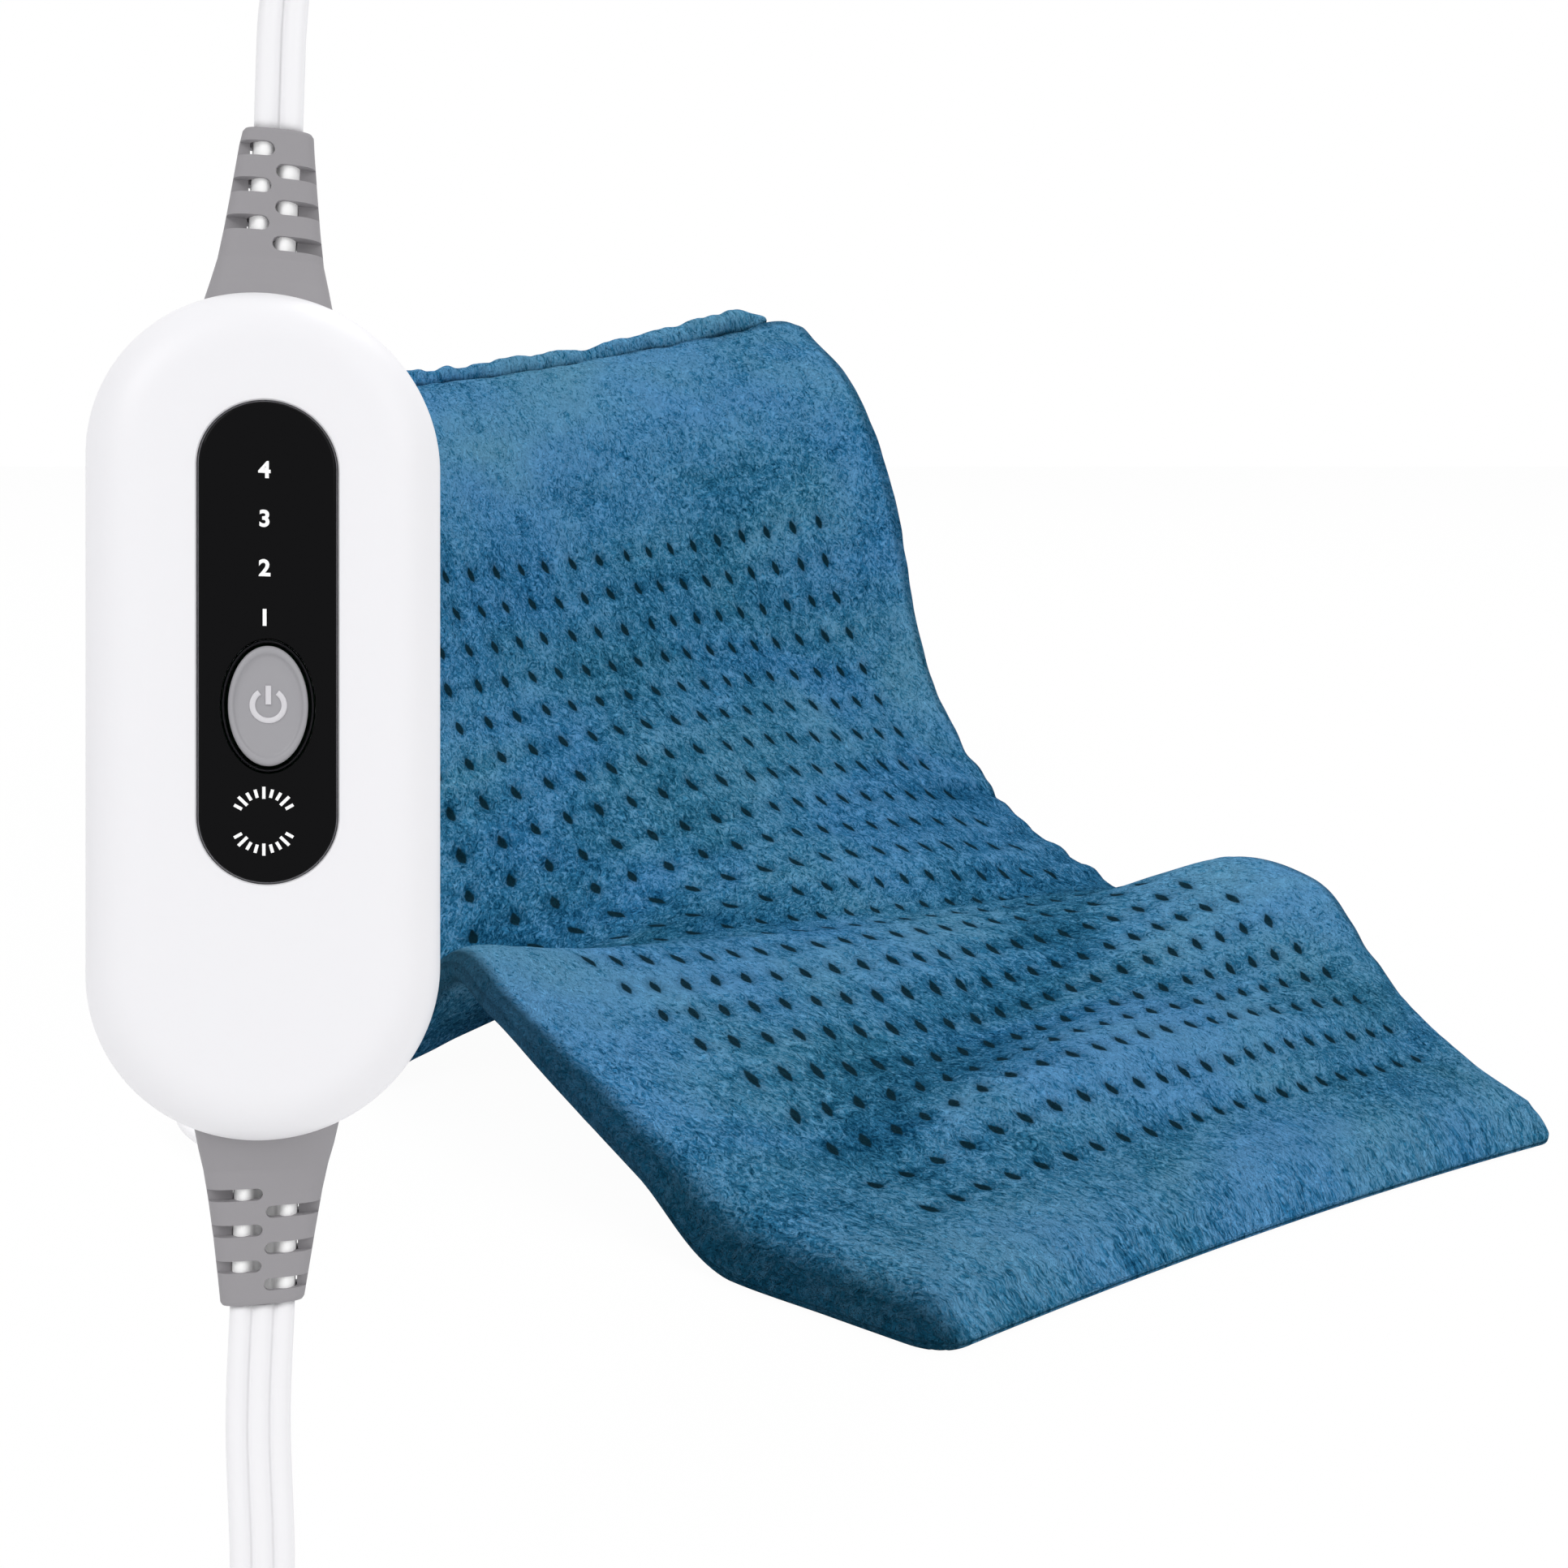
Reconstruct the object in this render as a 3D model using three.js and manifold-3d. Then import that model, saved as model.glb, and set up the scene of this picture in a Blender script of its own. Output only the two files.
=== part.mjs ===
// Heating pad with its hand controller, in millimetres, +Z up.
// The origin is the middle of the pad's front strip, where the pad rests on the surface.
// +X runs to the right and +Y away from the front.
import * as THREE from 'three';
import { mergeVertices } from 'three/addons/utils/BufferGeometryUtils.js';
import Module from 'manifold-3d';

const wasm = await Module();
wasm.setup();

// Shared clearances
const seatGap = 0.3;
const cutOverrun = 4;
const weldDistance = 1e-4;
const roundSteps = 12;
const slotSteps = 3;
const boreSides = 12;
const ringSides = 20;
const blockSquareness = 0.62;

// The pad
const padLength = 610;
const padWidth = 305;
const padHalfThickness = 7;
const seamHalfGap = 0.15;
const coverEdge = 0.9;
const carrierThickness = 0.6;
const heatWireDiameter = 1.2;
const hemHeight = 7;
const hemThickness = 12;
const hemSteps = 24;
const thermostatLength = 16;
const thermostatWidth = 8;
const thermostatHeight = 2.6;

// Where the pad's left edge, middle line and right edge run from the top to the front,
// each point a share of the pad's length from the origin: across, away and up.
const leftEdgeShares = [
  [-0.6, 0.53, 0.365], [-0.56, 0.47, 0.329], [-0.525, 0.42, 0.278], [-0.5, 0.37, 0.22],
  [-0.485, 0.31, 0.155], [-0.47, 0.255, 0.09], [-0.46, 0.2, 0.04], [-0.455, 0.16, 0.0115],
  [-0.445, 0.14, 0.0105], [-0.42, 0.14, 0.04], [-0.39, 0.135, 0.073], [-0.36, 0.09, 0.069],
  [-0.315, 0.03, 0.048], [-0.275, -0.015, 0.025], [-0.243, -0.057, 0.0115], [-0.197, -0.09, 0.01],
  [-0.152, -0.121, 0.01],
];
const middleLineShares = [
  [-0.44, 0.705, 0.3795], [-0.405, 0.65, 0.337], [-0.38, 0.61, 0.277], [-0.355, 0.565, 0.215],
  [-0.325, 0.515, 0.16], [-0.285, 0.46, 0.115], [-0.245, 0.41, 0.075], [-0.215, 0.35, 0.05],
  [-0.208, 0.3, 0.037], [-0.185, 0.257, 0.042], [-0.142, 0.217, 0.035], [-0.105, 0.18, 0.027],
  [-0.082, 0.156, 0.024], [-0.064, 0.126, 0.028], [-0.049, 0.096, 0.03], [-0.036, 0.066, 0.019],
  [-0.024, 0.042, 0.0112], [-0.01, 0.018, 0.0103], [0.009, -0.014, 0.01],
];
const rightEdgeShares = [
  [-0.205, 0.79, 0.43], [-0.16, 0.74, 0.38], [-0.135, 0.695, 0.325], [-0.12, 0.66, 0.265],
  [-0.11, 0.63, 0.2], [-0.095, 0.585, 0.14], [-0.067, 0.535, 0.09], [-0.03, 0.497, 0.051],
  [0.01, 0.472, 0.026], [0.046, 0.45, 0.012], [0.07, 0.42, 0.034], [0.097, 0.385, 0.061],
  [0.132, 0.345, 0.056], [0.144, 0.277, 0.03], [0.1535, 0.21, 0.0135], [0.162, 0.143, 0.0105],
  [0.173, 0.077, 0.01],
];

// A shallow trough crosses the front fold; its ends are shares of the width and length
const troughEndShares = [[0.8, 0.68], [0.2, 0.865]];
const troughDepth = 7;
const troughWidth = 30;

// Grid lines of the pad's layers, as shares of its width and length, closer where it folds
const acrossShares = [0, 0.008, 0.025, 0.12, 0.25, 0.375, 0.5, 0.625, 0.75, 0.88, 0.975, 0.992, 1];
const alongShares = [
  0, 0.004, 0.013, 0.07, 0.14, 0.21, 0.28, 0.35, 0.42, 0.48, 0.52, 0.545, 0.565, 0.585, 0.605,
  0.625, 0.65, 0.68, 0.72, 0.76, 0.8, 0.84, 0.885, 0.93, 0.958, 0.987, 0.996, 1,
];
const heaterAcross = [3, 9];
const heaterAlong = [3, 24];
const thermostatRows = { pad_thermostat_upper: 6, pad_thermostat_lower: 22 };
const thermostatColumn = 4;

// The hand controller, in its own frame: X across, -Y to the front, Z along it
const bodyLength = 123.1;
const bodyWidth = 49.4;
const bodyDepth = 24;
const bodyEdgeRadius = 8.5;
const bodyWall = 2.2;
const partingDepth = 1.5;
const controllerPlace = [-206.3, -186.9, 173];
const leanAngle = THREE.MathUtils.degToRad(12.5);
const turnAngle = THREE.MathUtils.degToRad(17.1);

const panelLength = 67.9;
const panelWidth = 18.7;
const panelCentreUp = 10.25;
const panelThickness = 1.7;
const panelProud = 0.4;
const panelRim = 0.5;
const panelFit = 0.25;

const buttonLength = 16.9;
const buttonWidth = 10.8;
const buttonCentreUp = 1.2;
const buttonProud = 1.1;
const buttonFit = 0.4;
const buttonTravel = 0.8;
const buttonDish = 0.5;
const buttonRim = 0.9;
const buttonFlange = 1.4;
const buttonFlangeThickness = 1.2;
const buttonStemDiameter = 4;
const collarWidth = 0.7;
const symbolRadius = 2.4;
const symbolLine = 0.55;
const symbolHeight = 0.25;
const symbolGapAngle = 0.55;
const symbolBarShare = 0.8;

const boardEndRoom = 17.5;
const boardWidth = 23;
const boardThickness = 1.6;
const boardBackDepth = 2.2;
const boardCentreUp = 1.2;
const switchSide = 6.5;
const switchBoreDiameter = 4;
const switchBase = 0.8;
const plungerDiameter = 3.2;
const domeHeight = 0.35;
const domeShoulderShare = 0.7;
const postWidth = 3;
const postHeight = 5;
const postEndRoom = 8;

const screwHeadDiameter = 5;
const screwHeadHeight = 1.8;
const screwShankDiameter = 2.4;
const screwBossDiameter = 6;
const screwSideRoom = 7.2;
const screwEndRoom = 28.5;
const screwBossBite = 6;

const lampAbovePanelCentre = [24.1, 17.25, 10.3, 3.3];
const lampSide = 2.2;
const lampHeight = 1.6;
const lampAcross = 6.9;
const guideWidth = 3.6;
const guideThickness = 2.4;
const guideMargin = 2.6;

// Pieces on the board: width, depth and length, with their places from the button's centre
const capacitorSize = [8, 6, 15];
const capacitorPlace = [-7, 6.8];
const triacSize = [10, 4.4, 15];
const triacPlace = [6, 10.8];
const chipSize = [6, 1.6, 9];
const chipPlace = [0, -19];
const upperTerminalSize = [13, 4, 8];
const upperTerminalAcross = -2;
const lowerTerminalSize = [15, 4, 8];
const terminalEndRoom = 1;
const fuseDiameter = 4.4;
const fuseLength = 14;
const fusePlace = [4, -15.2];

const plateLength = 46;
const plateWidth = 30;
const plateThickness = 0.4;
const plateUp = -4;

// Leads: flat two-core mains lead and flat three-core pad lead
const mainsWidth = 7;
const mainsThickness = 3.5;
const padLeadWidth = 9.2;
const padLeadThickness = 3.5;
const clampLength = 6;
const clampThickness = 1.6;
const leadEndSteps = 8;
const mainsSteps = 60;
const padLeadSteps = 60;

// Strain reliefs: [distance beyond the controller's end, width, depth] from the tip inwards
const upperRelief = {
  levels: [
    [24.85, 10.1, 6.2], [16.5, 12.1, 7], [10.5, 13.6, 7.8], [4.5, 15.7, 9.5], [-1.5, 18.3, 12],
  ],
  tipDrift: 1.5,
  slotHeight: 2.1,
  slotsLeft: [21.75, 16.25, 10.65],
  slotsRight: [18.55, 13.15, 7.75],
  slotEnd: 0.8,
};
const lowerRelief = {
  levels: [
    [24.35, 11.8, 6.2], [16.5, 13.8, 7], [8.5, 16.2, 8], [2.5, 18.4, 9.8], [-3, 20.6, 12],
  ],
  tipDrift: -0.75,
  slotHeight: 1.7,
  slotsLeft: [8.05, 13.35, 18.65],
  slotsRight: [10.75, 16.15, 21.45],
  slotEnd: -0.5,
};
const reliefWeb = 0.7;
const neckWidthWall = 1.6;
const neckDepthWall = 1.4;
const neckFlange = 1.5;
const neckFlangeThickness = 2;

// The put-away coil of the mains lead and its plug
const coilCentre = [-385, -254];
const coilOuterRadius = 43;
const coilPitch = 4.4;
const coilInnerDip = 2.2;
const coilLayerTurns = 2.5;
const coilLayerGap = 0.6;
const loopSteps = 24;
const tieWidth = 12;
const tieThickness = 1;
const tieGap = 0.5;
const coilExit = 9;
const plugReliefLength = 30;
const plugBodyLength = 27;
const plugThickness = 15.5;
const plugTipSpare = 1.5;
const plugSleeveSpare = [4, 3.5];
const plugShoulderShares = [0.8, 0.85];
const bladeLength = 17;
const bladeWidth = 6.4;
const bladeThickness = 1.5;
const bladeSpacing = 12.7;

// The hook that holds the mains lead up, above the picture
const saddleCentre = [-233.9, -185.6, 284.3];
const saddleRadius = 38.1;
const saddleBand = 2.6;
const saddleLip = 6;
const saddleCheek = 2.4;
const saddleSpan = [40, 140];
const saddleTurn = 37.9;
const hookTabWidth = 18;
const hookTabTop = 66;
const hookEyeDiameter = 8;

// Lead entry on the pad's left edge
const grommetAlongShare = 0.52;
const grommetLength = 26;
const grommetBite = 9;
const grommetRoot = [17, 9.6];
const grommetTip = [12.6, 6];

// Looks of the parts: colour, roughness, metalness
const finishes = {
  plush: [0x3f78a6, 0.95, 0],
  liner: [0xe8e4da, 0.9, 0],
  wire: [0xf2efe6, 0.5, 0],
  whiteShell: [0xf3f2f6, 0.35, 0],
  gloss: [0x08080a, 0.08, 0],
  greyButton: [0xb9b9bb, 0.4, 0],
  darkTrim: [0x1c1c20, 0.25, 0],
  greyRubber: [0x959191, 0.6, 0],
  whiteVinyl: [0xf1f1f1, 0.4, 0],
  board: [0x1f5a34, 0.5, 0],
  blackPart: [0x1d1d1f, 0.5, 0],
  yellowPart: [0xd8b53a, 0.5, 0],
  steel: [0xb8bcc0, 0.3, 1],
  brassBlade: [0xc9b26a, 0.3, 1],
  clear: [0xf6f6f6, 0.2, 0],
  tieFabric: [0x2b2b2e, 0.9, 0],
};

const part = new THREE.Group();

// Solids and meshes

function positionsOnly(geometry) {
  const bare = geometry.clone();
  bare.deleteAttribute('normal');
  bare.deleteAttribute('uv');
  return mergeVertices(bare, weldDistance);
}

function toSolid(geometry) {
  const bare = positionsOnly(geometry);
  return new wasm.Manifold(new wasm.Mesh({
    numProp: 3,
    vertProperties: new Float32Array(bare.attributes.position.array),
    triVerts: new Uint32Array(bare.index.array),
  }));
}

function fromSolid(solid) {
  const mesh = solid.getMesh();
  const geometry = new THREE.BufferGeometry();
  geometry.setAttribute('position', new THREE.BufferAttribute(new Float32Array(mesh.vertProperties), 3));
  geometry.setIndex(new THREE.BufferAttribute(new Uint32Array(mesh.triVerts), 1));
  geometry.computeVertexNormals();
  return geometry;
}

// A closed surface from a list of points and triangles, turned so that its faces point out
function closedGeometry(points, triangles) {
  let volume = 0;
  for (const [a, b, c] of triangles) {
    volume += points[a].dot(points[b].clone().cross(points[c]));
  }
  const facing = volume < 0 ? triangles.map(([a, b, c]) => [a, c, b]) : triangles;
  const geometry = new THREE.BufferGeometry();
  geometry.setAttribute('position',
    new THREE.Float32BufferAttribute(points.flatMap((point) => point.toArray()), 3));
  geometry.setIndex(facing.flat());
  geometry.computeVertexNormals();
  return geometry;
}

function addPart(name, geometry, finish, parent = part) {
  const [color, roughness, metalness] = finishes[finish];
  const material = new THREE.MeshStandardMaterial({ color, roughness, metalness });
  const mesh = new THREE.Mesh(geometry, material);
  mesh.name = name;
  parent.add(mesh);
  return mesh;
}

// Outlines and plates: an outline in X and Z, thickened along Y

function stadiumShape(width, length) {
  const radius = width / 2;
  const straight = length / 2 - radius;
  const shape = new THREE.Shape();
  shape.absarc(0, straight, radius, 0, Math.PI, false);
  shape.absarc(0, -straight, radius, Math.PI, 2 * Math.PI, false);
  shape.closePath();
  return shape;
}

function ovalShape(width, length) {
  const shape = new THREE.Shape();
  shape.absellipse(0, 0, width / 2, length / 2, 0, 2 * Math.PI, false, 0);
  return shape;
}

function boxShape(width, length, radius = 0) {
  const x = width / 2;
  const y = length / 2;
  const shape = new THREE.Shape();
  if (radius === 0) {
    shape.moveTo(-x, -y).lineTo(x, -y).lineTo(x, y).lineTo(-x, y).closePath();
    return shape;
  }
  shape.absarc(x - radius, y - radius, radius, 0, Math.PI / 2, false);
  shape.absarc(-x + radius, y - radius, radius, Math.PI / 2, Math.PI, false);
  shape.absarc(-x + radius, -y + radius, radius, Math.PI, 1.5 * Math.PI, false);
  shape.absarc(x - radius, -y + radius, radius, 1.5 * Math.PI, 2 * Math.PI, false);
  shape.closePath();
  return shape;
}

// The plate fills front..back along Y; its rim is rounded by the given radius
function plate(shape, front, back, rim = 0, rimSteps = 3, curveSegments = roundSteps) {
  const depth = back - front - 2 * rim;
  const geometry = new THREE.ExtrudeGeometry(shape, {
    depth, curveSegments, bevelEnabled: rim > 0, bevelThickness: rim, bevelSize: rim,
    bevelOffset: -rim, bevelSegments: rimSteps, steps: 1,
  });
  geometry.rotateX(Math.PI / 2);
  geometry.translate(0, back - rim, 0);
  return geometry;
}

function boxAt(width, depth, height, x, y, z) {
  return new THREE.BoxGeometry(width, depth, height).translate(x, y, z);
}

// A round bar along Y
function barAt(diameter, front, back, x, z, sides = boreSides) {
  return new THREE.CylinderGeometry(diameter / 2, diameter / 2, back - front, sides)
    .translate(x, (front + back) / 2, z);
}

// Rings of equal count joined into one closed body
function ringBody(rings) {
  const count = rings[0].length;
  const points = rings.flat();
  const triangles = [];
  for (let level = 0; level + 1 < rings.length; level += 1) {
    for (let i = 0; i < count; i += 1) {
      const next = (i + 1) % count;
      const a = level * count + i;
      const b = level * count + next;
      triangles.push([a, b, b + count], [a, b + count, a + count]);
    }
  }
  const last = (rings.length - 1) * count;
  for (let i = 1; i + 1 < count; i += 1) {
    triangles.push([0, i + 1, i], [last, last + i, last + i + 1]);
  }
  return closedGeometry(points, triangles);
}

// A rounded block's ring at a height: between an ellipse and a box
function roundedRing(width, depth, x, z, sides = ringSides) {
  const ring = [];
  for (let i = 0; i < sides; i += 1) {
    const angle = (2 * Math.PI * i) / sides;
    const c = Math.cos(angle);
    const s = Math.sin(angle);
    ring.push(new THREE.Vector3(
      x + (width / 2) * Math.sign(c) * Math.abs(c) ** blockSquareness,
      (depth / 2) * Math.sign(s) * Math.abs(s) ** blockSquareness,
      z,
    ));
  }
  return ring;
}

// Flat leads: a rounded strip carried along a route whose wide side is steered

function leadSection(width, thickness, cornerSteps = 3) {
  const half = width / 2 - thickness / 2;
  const shape = new THREE.Shape();
  for (const [side, start] of [[1, -Math.PI / 2], [-1, Math.PI / 2]]) {
    for (let i = 0; i <= cornerSteps; i += 1) {
      const angle = start + (Math.PI * i) / cornerSteps;
      const x = side * half + (thickness / 2) * Math.cos(angle);
      const y = (thickness / 2) * Math.sin(angle);
      if (side === 1 && i === 0) shape.moveTo(x, y);
      else shape.lineTo(x, y);
    }
  }
  shape.closePath();
  return shape;
}

function steeredFrames(curve, segments, wideAt) {
  const tangents = [];
  const normals = [];
  const binormals = [];
  for (let i = 0; i <= segments; i += 1) {
    const tangent = curve.getTangentAt(i / segments).normalize();
    const wide = wideAt(i / segments);
    const normal = wide.clone().addScaledVector(tangent, -wide.dot(tangent)).normalize();
    tangents.push(tangent);
    normals.push(normal);
    binormals.push(tangent.clone().cross(normal));
  }
  return { tangents, normals, binormals };
}

class LeadRoute extends THREE.CatmullRomCurve3 {
  constructor(points, facings) {
    super(points, false, 'centripetal');
    this.facings = facings;
    this.arcLengthDivisions = 60 * points.length;
  }

  // The wide side turns evenly from one listed direction to the next, by share of the length
  wideAt(share) {
    const last = this.facings.length - 2;
    const found = this.facings.findIndex(([place], i) => i <= last && share <= this.facings[i + 1][0]);
    const index = found < 0 ? last : found;
    const [from, fromWide] = this.facings[index];
    const [to, toWide] = this.facings[index + 1];
    return fromWide.clone().lerp(toWide, (share - from) / (to - from)).normalize();
  }

  computeFrenetFrames(segments) {
    return steeredFrames(this, segments, (share) => this.wideAt(share));
  }
}

function leadAlong(route, width, thickness, steps, cornerSteps = 3) {
  return new THREE.ExtrudeGeometry(leadSection(width, thickness, cornerSteps),
    { steps, extrudePath: route, bevelEnabled: false });
}

const vector = (values) => new THREE.Vector3(...values);
const across = vector([1, 0, 0]);
const alongY = vector([0, -1, 0]);
const onEdge = vector([0, 0, 1]);

// The pad's middle surface

const edgeCurve = (shares) => {
  const curve = new THREE.CatmullRomCurve3(shares.map((share) => vector(share).multiplyScalar(padLength)));
  curve.arcLengthDivisions = 600;
  return curve;
};
const leftEdge = edgeCurve(leftEdgeShares);
const middleLine = edgeCurve(middleLineShares);
const rightEdge = edgeCurve(rightEdgeShares);
const widthSpread = padWidth / (padLength / 2);

// How far the trough lowers the sheet: a bell over the distance from the trough's line
function troughAt(across, along) {
  const [from, to] = troughEndShares.map((ends) => new THREE.Vector2(ends[0] * padWidth, ends[1] * padLength));
  const place = new THREE.Vector2(across * padWidth, along * padLength);
  const line = to.sub(from);
  const share = THREE.MathUtils.clamp(place.clone().sub(from).dot(line) / line.lengthSq(), 0, 1);
  const gap = place.distanceTo(from.addScaledVector(line, share));
  return troughDepth * Math.exp(-((gap / troughWidth) ** 2));
}

// Point of the middle surface: a parabola across, through the two edges and the middle line
function padPoint(across, along) {
  const share = THREE.MathUtils.clamp(along, 0, 1);
  const middle = middleLine.getPointAt(share);
  const left = leftEdge.getPointAt(share).sub(middle).multiplyScalar(widthSpread);
  const right = rightEdge.getPointAt(share).sub(middle).multiplyScalar(widthSpread);
  return middle
    .addScaledVector(left, (1 - across) * (1 - 2 * across))
    .addScaledVector(right, across * (2 * across - 1))
    .addScaledVector(onEdge, -troughAt(across, share));
}

function padFrame(across, along) {
  const share = 0.004;
  const sideways = padPoint(Math.min(across + share, 1), along).sub(padPoint(Math.max(across - share, 0), along));
  const down = padPoint(across, Math.min(along + share, 1)).sub(padPoint(across, Math.max(along - share, 0)));
  const normal = down.clone().cross(sideways).normalize();
  return { point: padPoint(across, along), normal, down: down.normalize(), sideways: sideways.normalize() };
}

// Half of the pad's thickness at a distance from its edge: a quarter round, then level
function crownAt(across, along) {
  const fromSide = Math.min(across, 1 - across) * padWidth;
  const fromEnd = Math.min(along, 1 - along) * padLength;
  const inset = Math.min(fromSide, fromEnd, padHalfThickness);
  return Math.sqrt(padHalfThickness ** 2 - (padHalfThickness - inset) ** 2);
}

const padFrames = alongShares.map((along) => acrossShares.map((across) => padFrame(across, along)));

// A layer between two offsets from the middle surface, over a range of grid lines
function padLayer(lowerAt, upperAt, rows, columns) {
  const points = [];
  const place = new Map();
  const key = (row, column, side) => `${row},${column},${side}`;
  for (let row = rows[0]; row <= rows[1]; row += 1) {
    for (let column = columns[0]; column <= columns[1]; column += 1) {
      const { point, normal } = padFrames[row][column];
      for (const [side, offset] of [['low', lowerAt(row, column)], ['high', upperAt(row, column)]]) {
        const corner = point.clone().addScaledVector(normal, offset);
        corner.z = Math.max(corner.z, 0);
        place.set(key(row, column, side), points.length);
        points.push(corner);
      }
    }
  }
  const at = (row, column, side) => place.get(key(row, column, side));
  const triangles = [];
  const quad = (a, b, c, d) => triangles.push([a, b, c], [a, c, d]);
  for (let row = rows[0]; row < rows[1]; row += 1) {
    for (let column = columns[0]; column < columns[1]; column += 1) {
      for (const [side, turn] of [['low', false], ['high', true]]) {
        const corners = [
          at(row, column, side), at(row, column + 1, side),
          at(row + 1, column + 1, side), at(row + 1, column, side),
        ];
        if (turn) triangles.push([corners[0], corners[2], corners[1]], [corners[0], corners[3], corners[2]]);
        else quad(...corners);
      }
    }
  }
  for (let row = rows[0]; row < rows[1]; row += 1) {
    const [first, last] = columns;
    quad(at(row, first, 'low'), at(row + 1, first, 'low'), at(row + 1, first, 'high'), at(row, first, 'high'));
    quad(at(row, last, 'low'), at(row, last, 'high'), at(row + 1, last, 'high'), at(row + 1, last, 'low'));
  }
  for (let column = columns[0]; column < columns[1]; column += 1) {
    const [first, last] = rows;
    quad(at(first, column, 'low'), at(first, column, 'high'), at(first, column + 1, 'high'),
      at(first, column + 1, 'low'));
    quad(at(last, column, 'low'), at(last, column + 1, 'low'), at(last, column + 1, 'high'),
      at(last, column, 'high'));
  }
  return closedGeometry(points, triangles);
}

const allRows = [0, alongShares.length - 1];
const allColumns = [0, acrossShares.length - 1];
const inHeater = (row, column) => row >= heaterAlong[0] && row <= heaterAlong[1]
  && column >= heaterAcross[0] && column <= heaterAcross[1];
const carrierHalf = carrierThickness / 2;
const wireCentreOffset = carrierHalf + seatGap + heatWireDiameter / 2;
const cavityTop = wireCentreOffset + heatWireDiameter / 2 + seatGap;
const cavityBottom = carrierHalf + seatGap;
const crownOf = (row, column) => crownAt(acrossShares[column], alongShares[row]);

const topInner = (row, column) => (inHeater(row, column) ? cavityTop : seamHalfGap);
const topOuter = (row, column) => Math.max(crownOf(row, column), topInner(row, column) + coverEdge);
const bottomInner = (row, column) => (inHeater(row, column) ? -cavityBottom : -seamHalfGap);
const bottomOuter = (row, column) => Math.min(-crownOf(row, column), bottomInner(row, column) - coverEdge);

let topCover = toSolid(padLayer(topInner, topOuter, allRows, allColumns));
let bottomCover = toSolid(padLayer(bottomOuter, bottomInner, allRows, allColumns));

// The lead's entry grommet, square to the left edge and let into both covers

const entry = padFrame(0, grommetAlongShare);
const entryOut = entry.sideways.clone().negate().setZ(0).normalize();
const entryAlong = entry.down.clone().addScaledVector(entryOut, -entry.down.dot(entryOut)).normalize();
const entryUp = entryOut.clone().cross(entryAlong);
const entryMatrix = new THREE.Matrix4().makeBasis(entryAlong, entryUp, entryOut).setPosition(entry.point);

function grommetBody(extra, bore) {
  const [rootWidth, rootDepth] = grommetRoot;
  const [tipWidth, tipDepth] = grommetTip;
  const rings = [
    roundedRing(rootWidth + 2 * extra, rootDepth + 2 * extra, 0, -grommetBite - extra),
    roundedRing(rootWidth + 2 * extra, rootDepth + 2 * extra, 0, padHalfThickness / 2),
    roundedRing(tipWidth + 2 * extra, tipDepth + 2 * extra, 0, grommetLength + extra),
  ];
  const body = toSolid(ringBody(rings));
  if (!bore) return body;
  const hole = leadSection(padLeadWidth + 2 * seatGap, padLeadThickness + 2 * seatGap);
  const cut = new THREE.ExtrudeGeometry(hole, { depth: grommetLength + grommetBite + 2 * cutOverrun, bevelEnabled: false });
  return body.subtract(toSolid(cut.translate(0, 0, -grommetBite - cutOverrun)));
}

const entryRoom = toSolid(fromSolid(grommetBody(seatGap, false)).applyMatrix4(entryMatrix));
topCover = topCover.subtract(entryRoom);
bottomCover = bottomCover.subtract(entryRoom);
addPart('pad_entry_grommet', fromSolid(grommetBody(0, true)).applyMatrix4(entryMatrix), 'greyRubber');

const tailFirst = -grommetBite + seatGap;
const tailShape = leadSection(padLeadWidth, padLeadThickness);
const tail = new THREE.ExtrudeGeometry(tailShape, { depth: grommetLength - tailFirst, bevelEnabled: false });
addPart('pad_lead_tail', tail.translate(0, 0, tailFirst).applyMatrix4(entryMatrix), 'whiteVinyl');

// Thermostats lie on the carrier, in pockets of the top cover

for (const [name, row] of Object.entries(thermostatRows)) {
  const near = [0, 1].flatMap((i) => [0, 1].map((k) => padFrames[row + i][thermostatColumn + k]));
  const point = near.reduce((sum, corner) => sum.add(corner.point), new THREE.Vector3()).divideScalar(near.length);
  const down = near[2].point.clone().sub(near[0].point).normalize();
  const normal = down.clone().cross(near[1].point.clone().sub(near[0].point)).normalize();
  const side = down.clone().cross(normal).normalize();
  const matrix = new THREE.Matrix4().makeBasis(side, down, normal).setPosition(point);
  const base = carrierHalf + 2 * seatGap;
  const block = new THREE.BoxGeometry(thermostatWidth, thermostatLength, thermostatHeight)
    .translate(0, 0, base + thermostatHeight / 2).applyMatrix4(matrix);
  const pocket = new THREE.BoxGeometry(
    thermostatWidth + 2 * seatGap, thermostatLength + 2 * seatGap, thermostatHeight + 2 * seatGap,
  ).translate(0, 0, base + thermostatHeight / 2).applyMatrix4(matrix);
  addPart(name, block, 'blackPart');
  topCover = topCover.subtract(toSolid(pocket));
}
addPart('pad_top_cover', fromSolid(topCover), 'plush');
addPart('pad_bottom_cover', fromSolid(bottomCover), 'plush');
addPart('heater_carrier', padLayer(() => -carrierHalf, () => carrierHalf, heaterAlong, heaterAcross), 'liner');

// The heating wire runs up and down the pad on every second grid column between its ends

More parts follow.
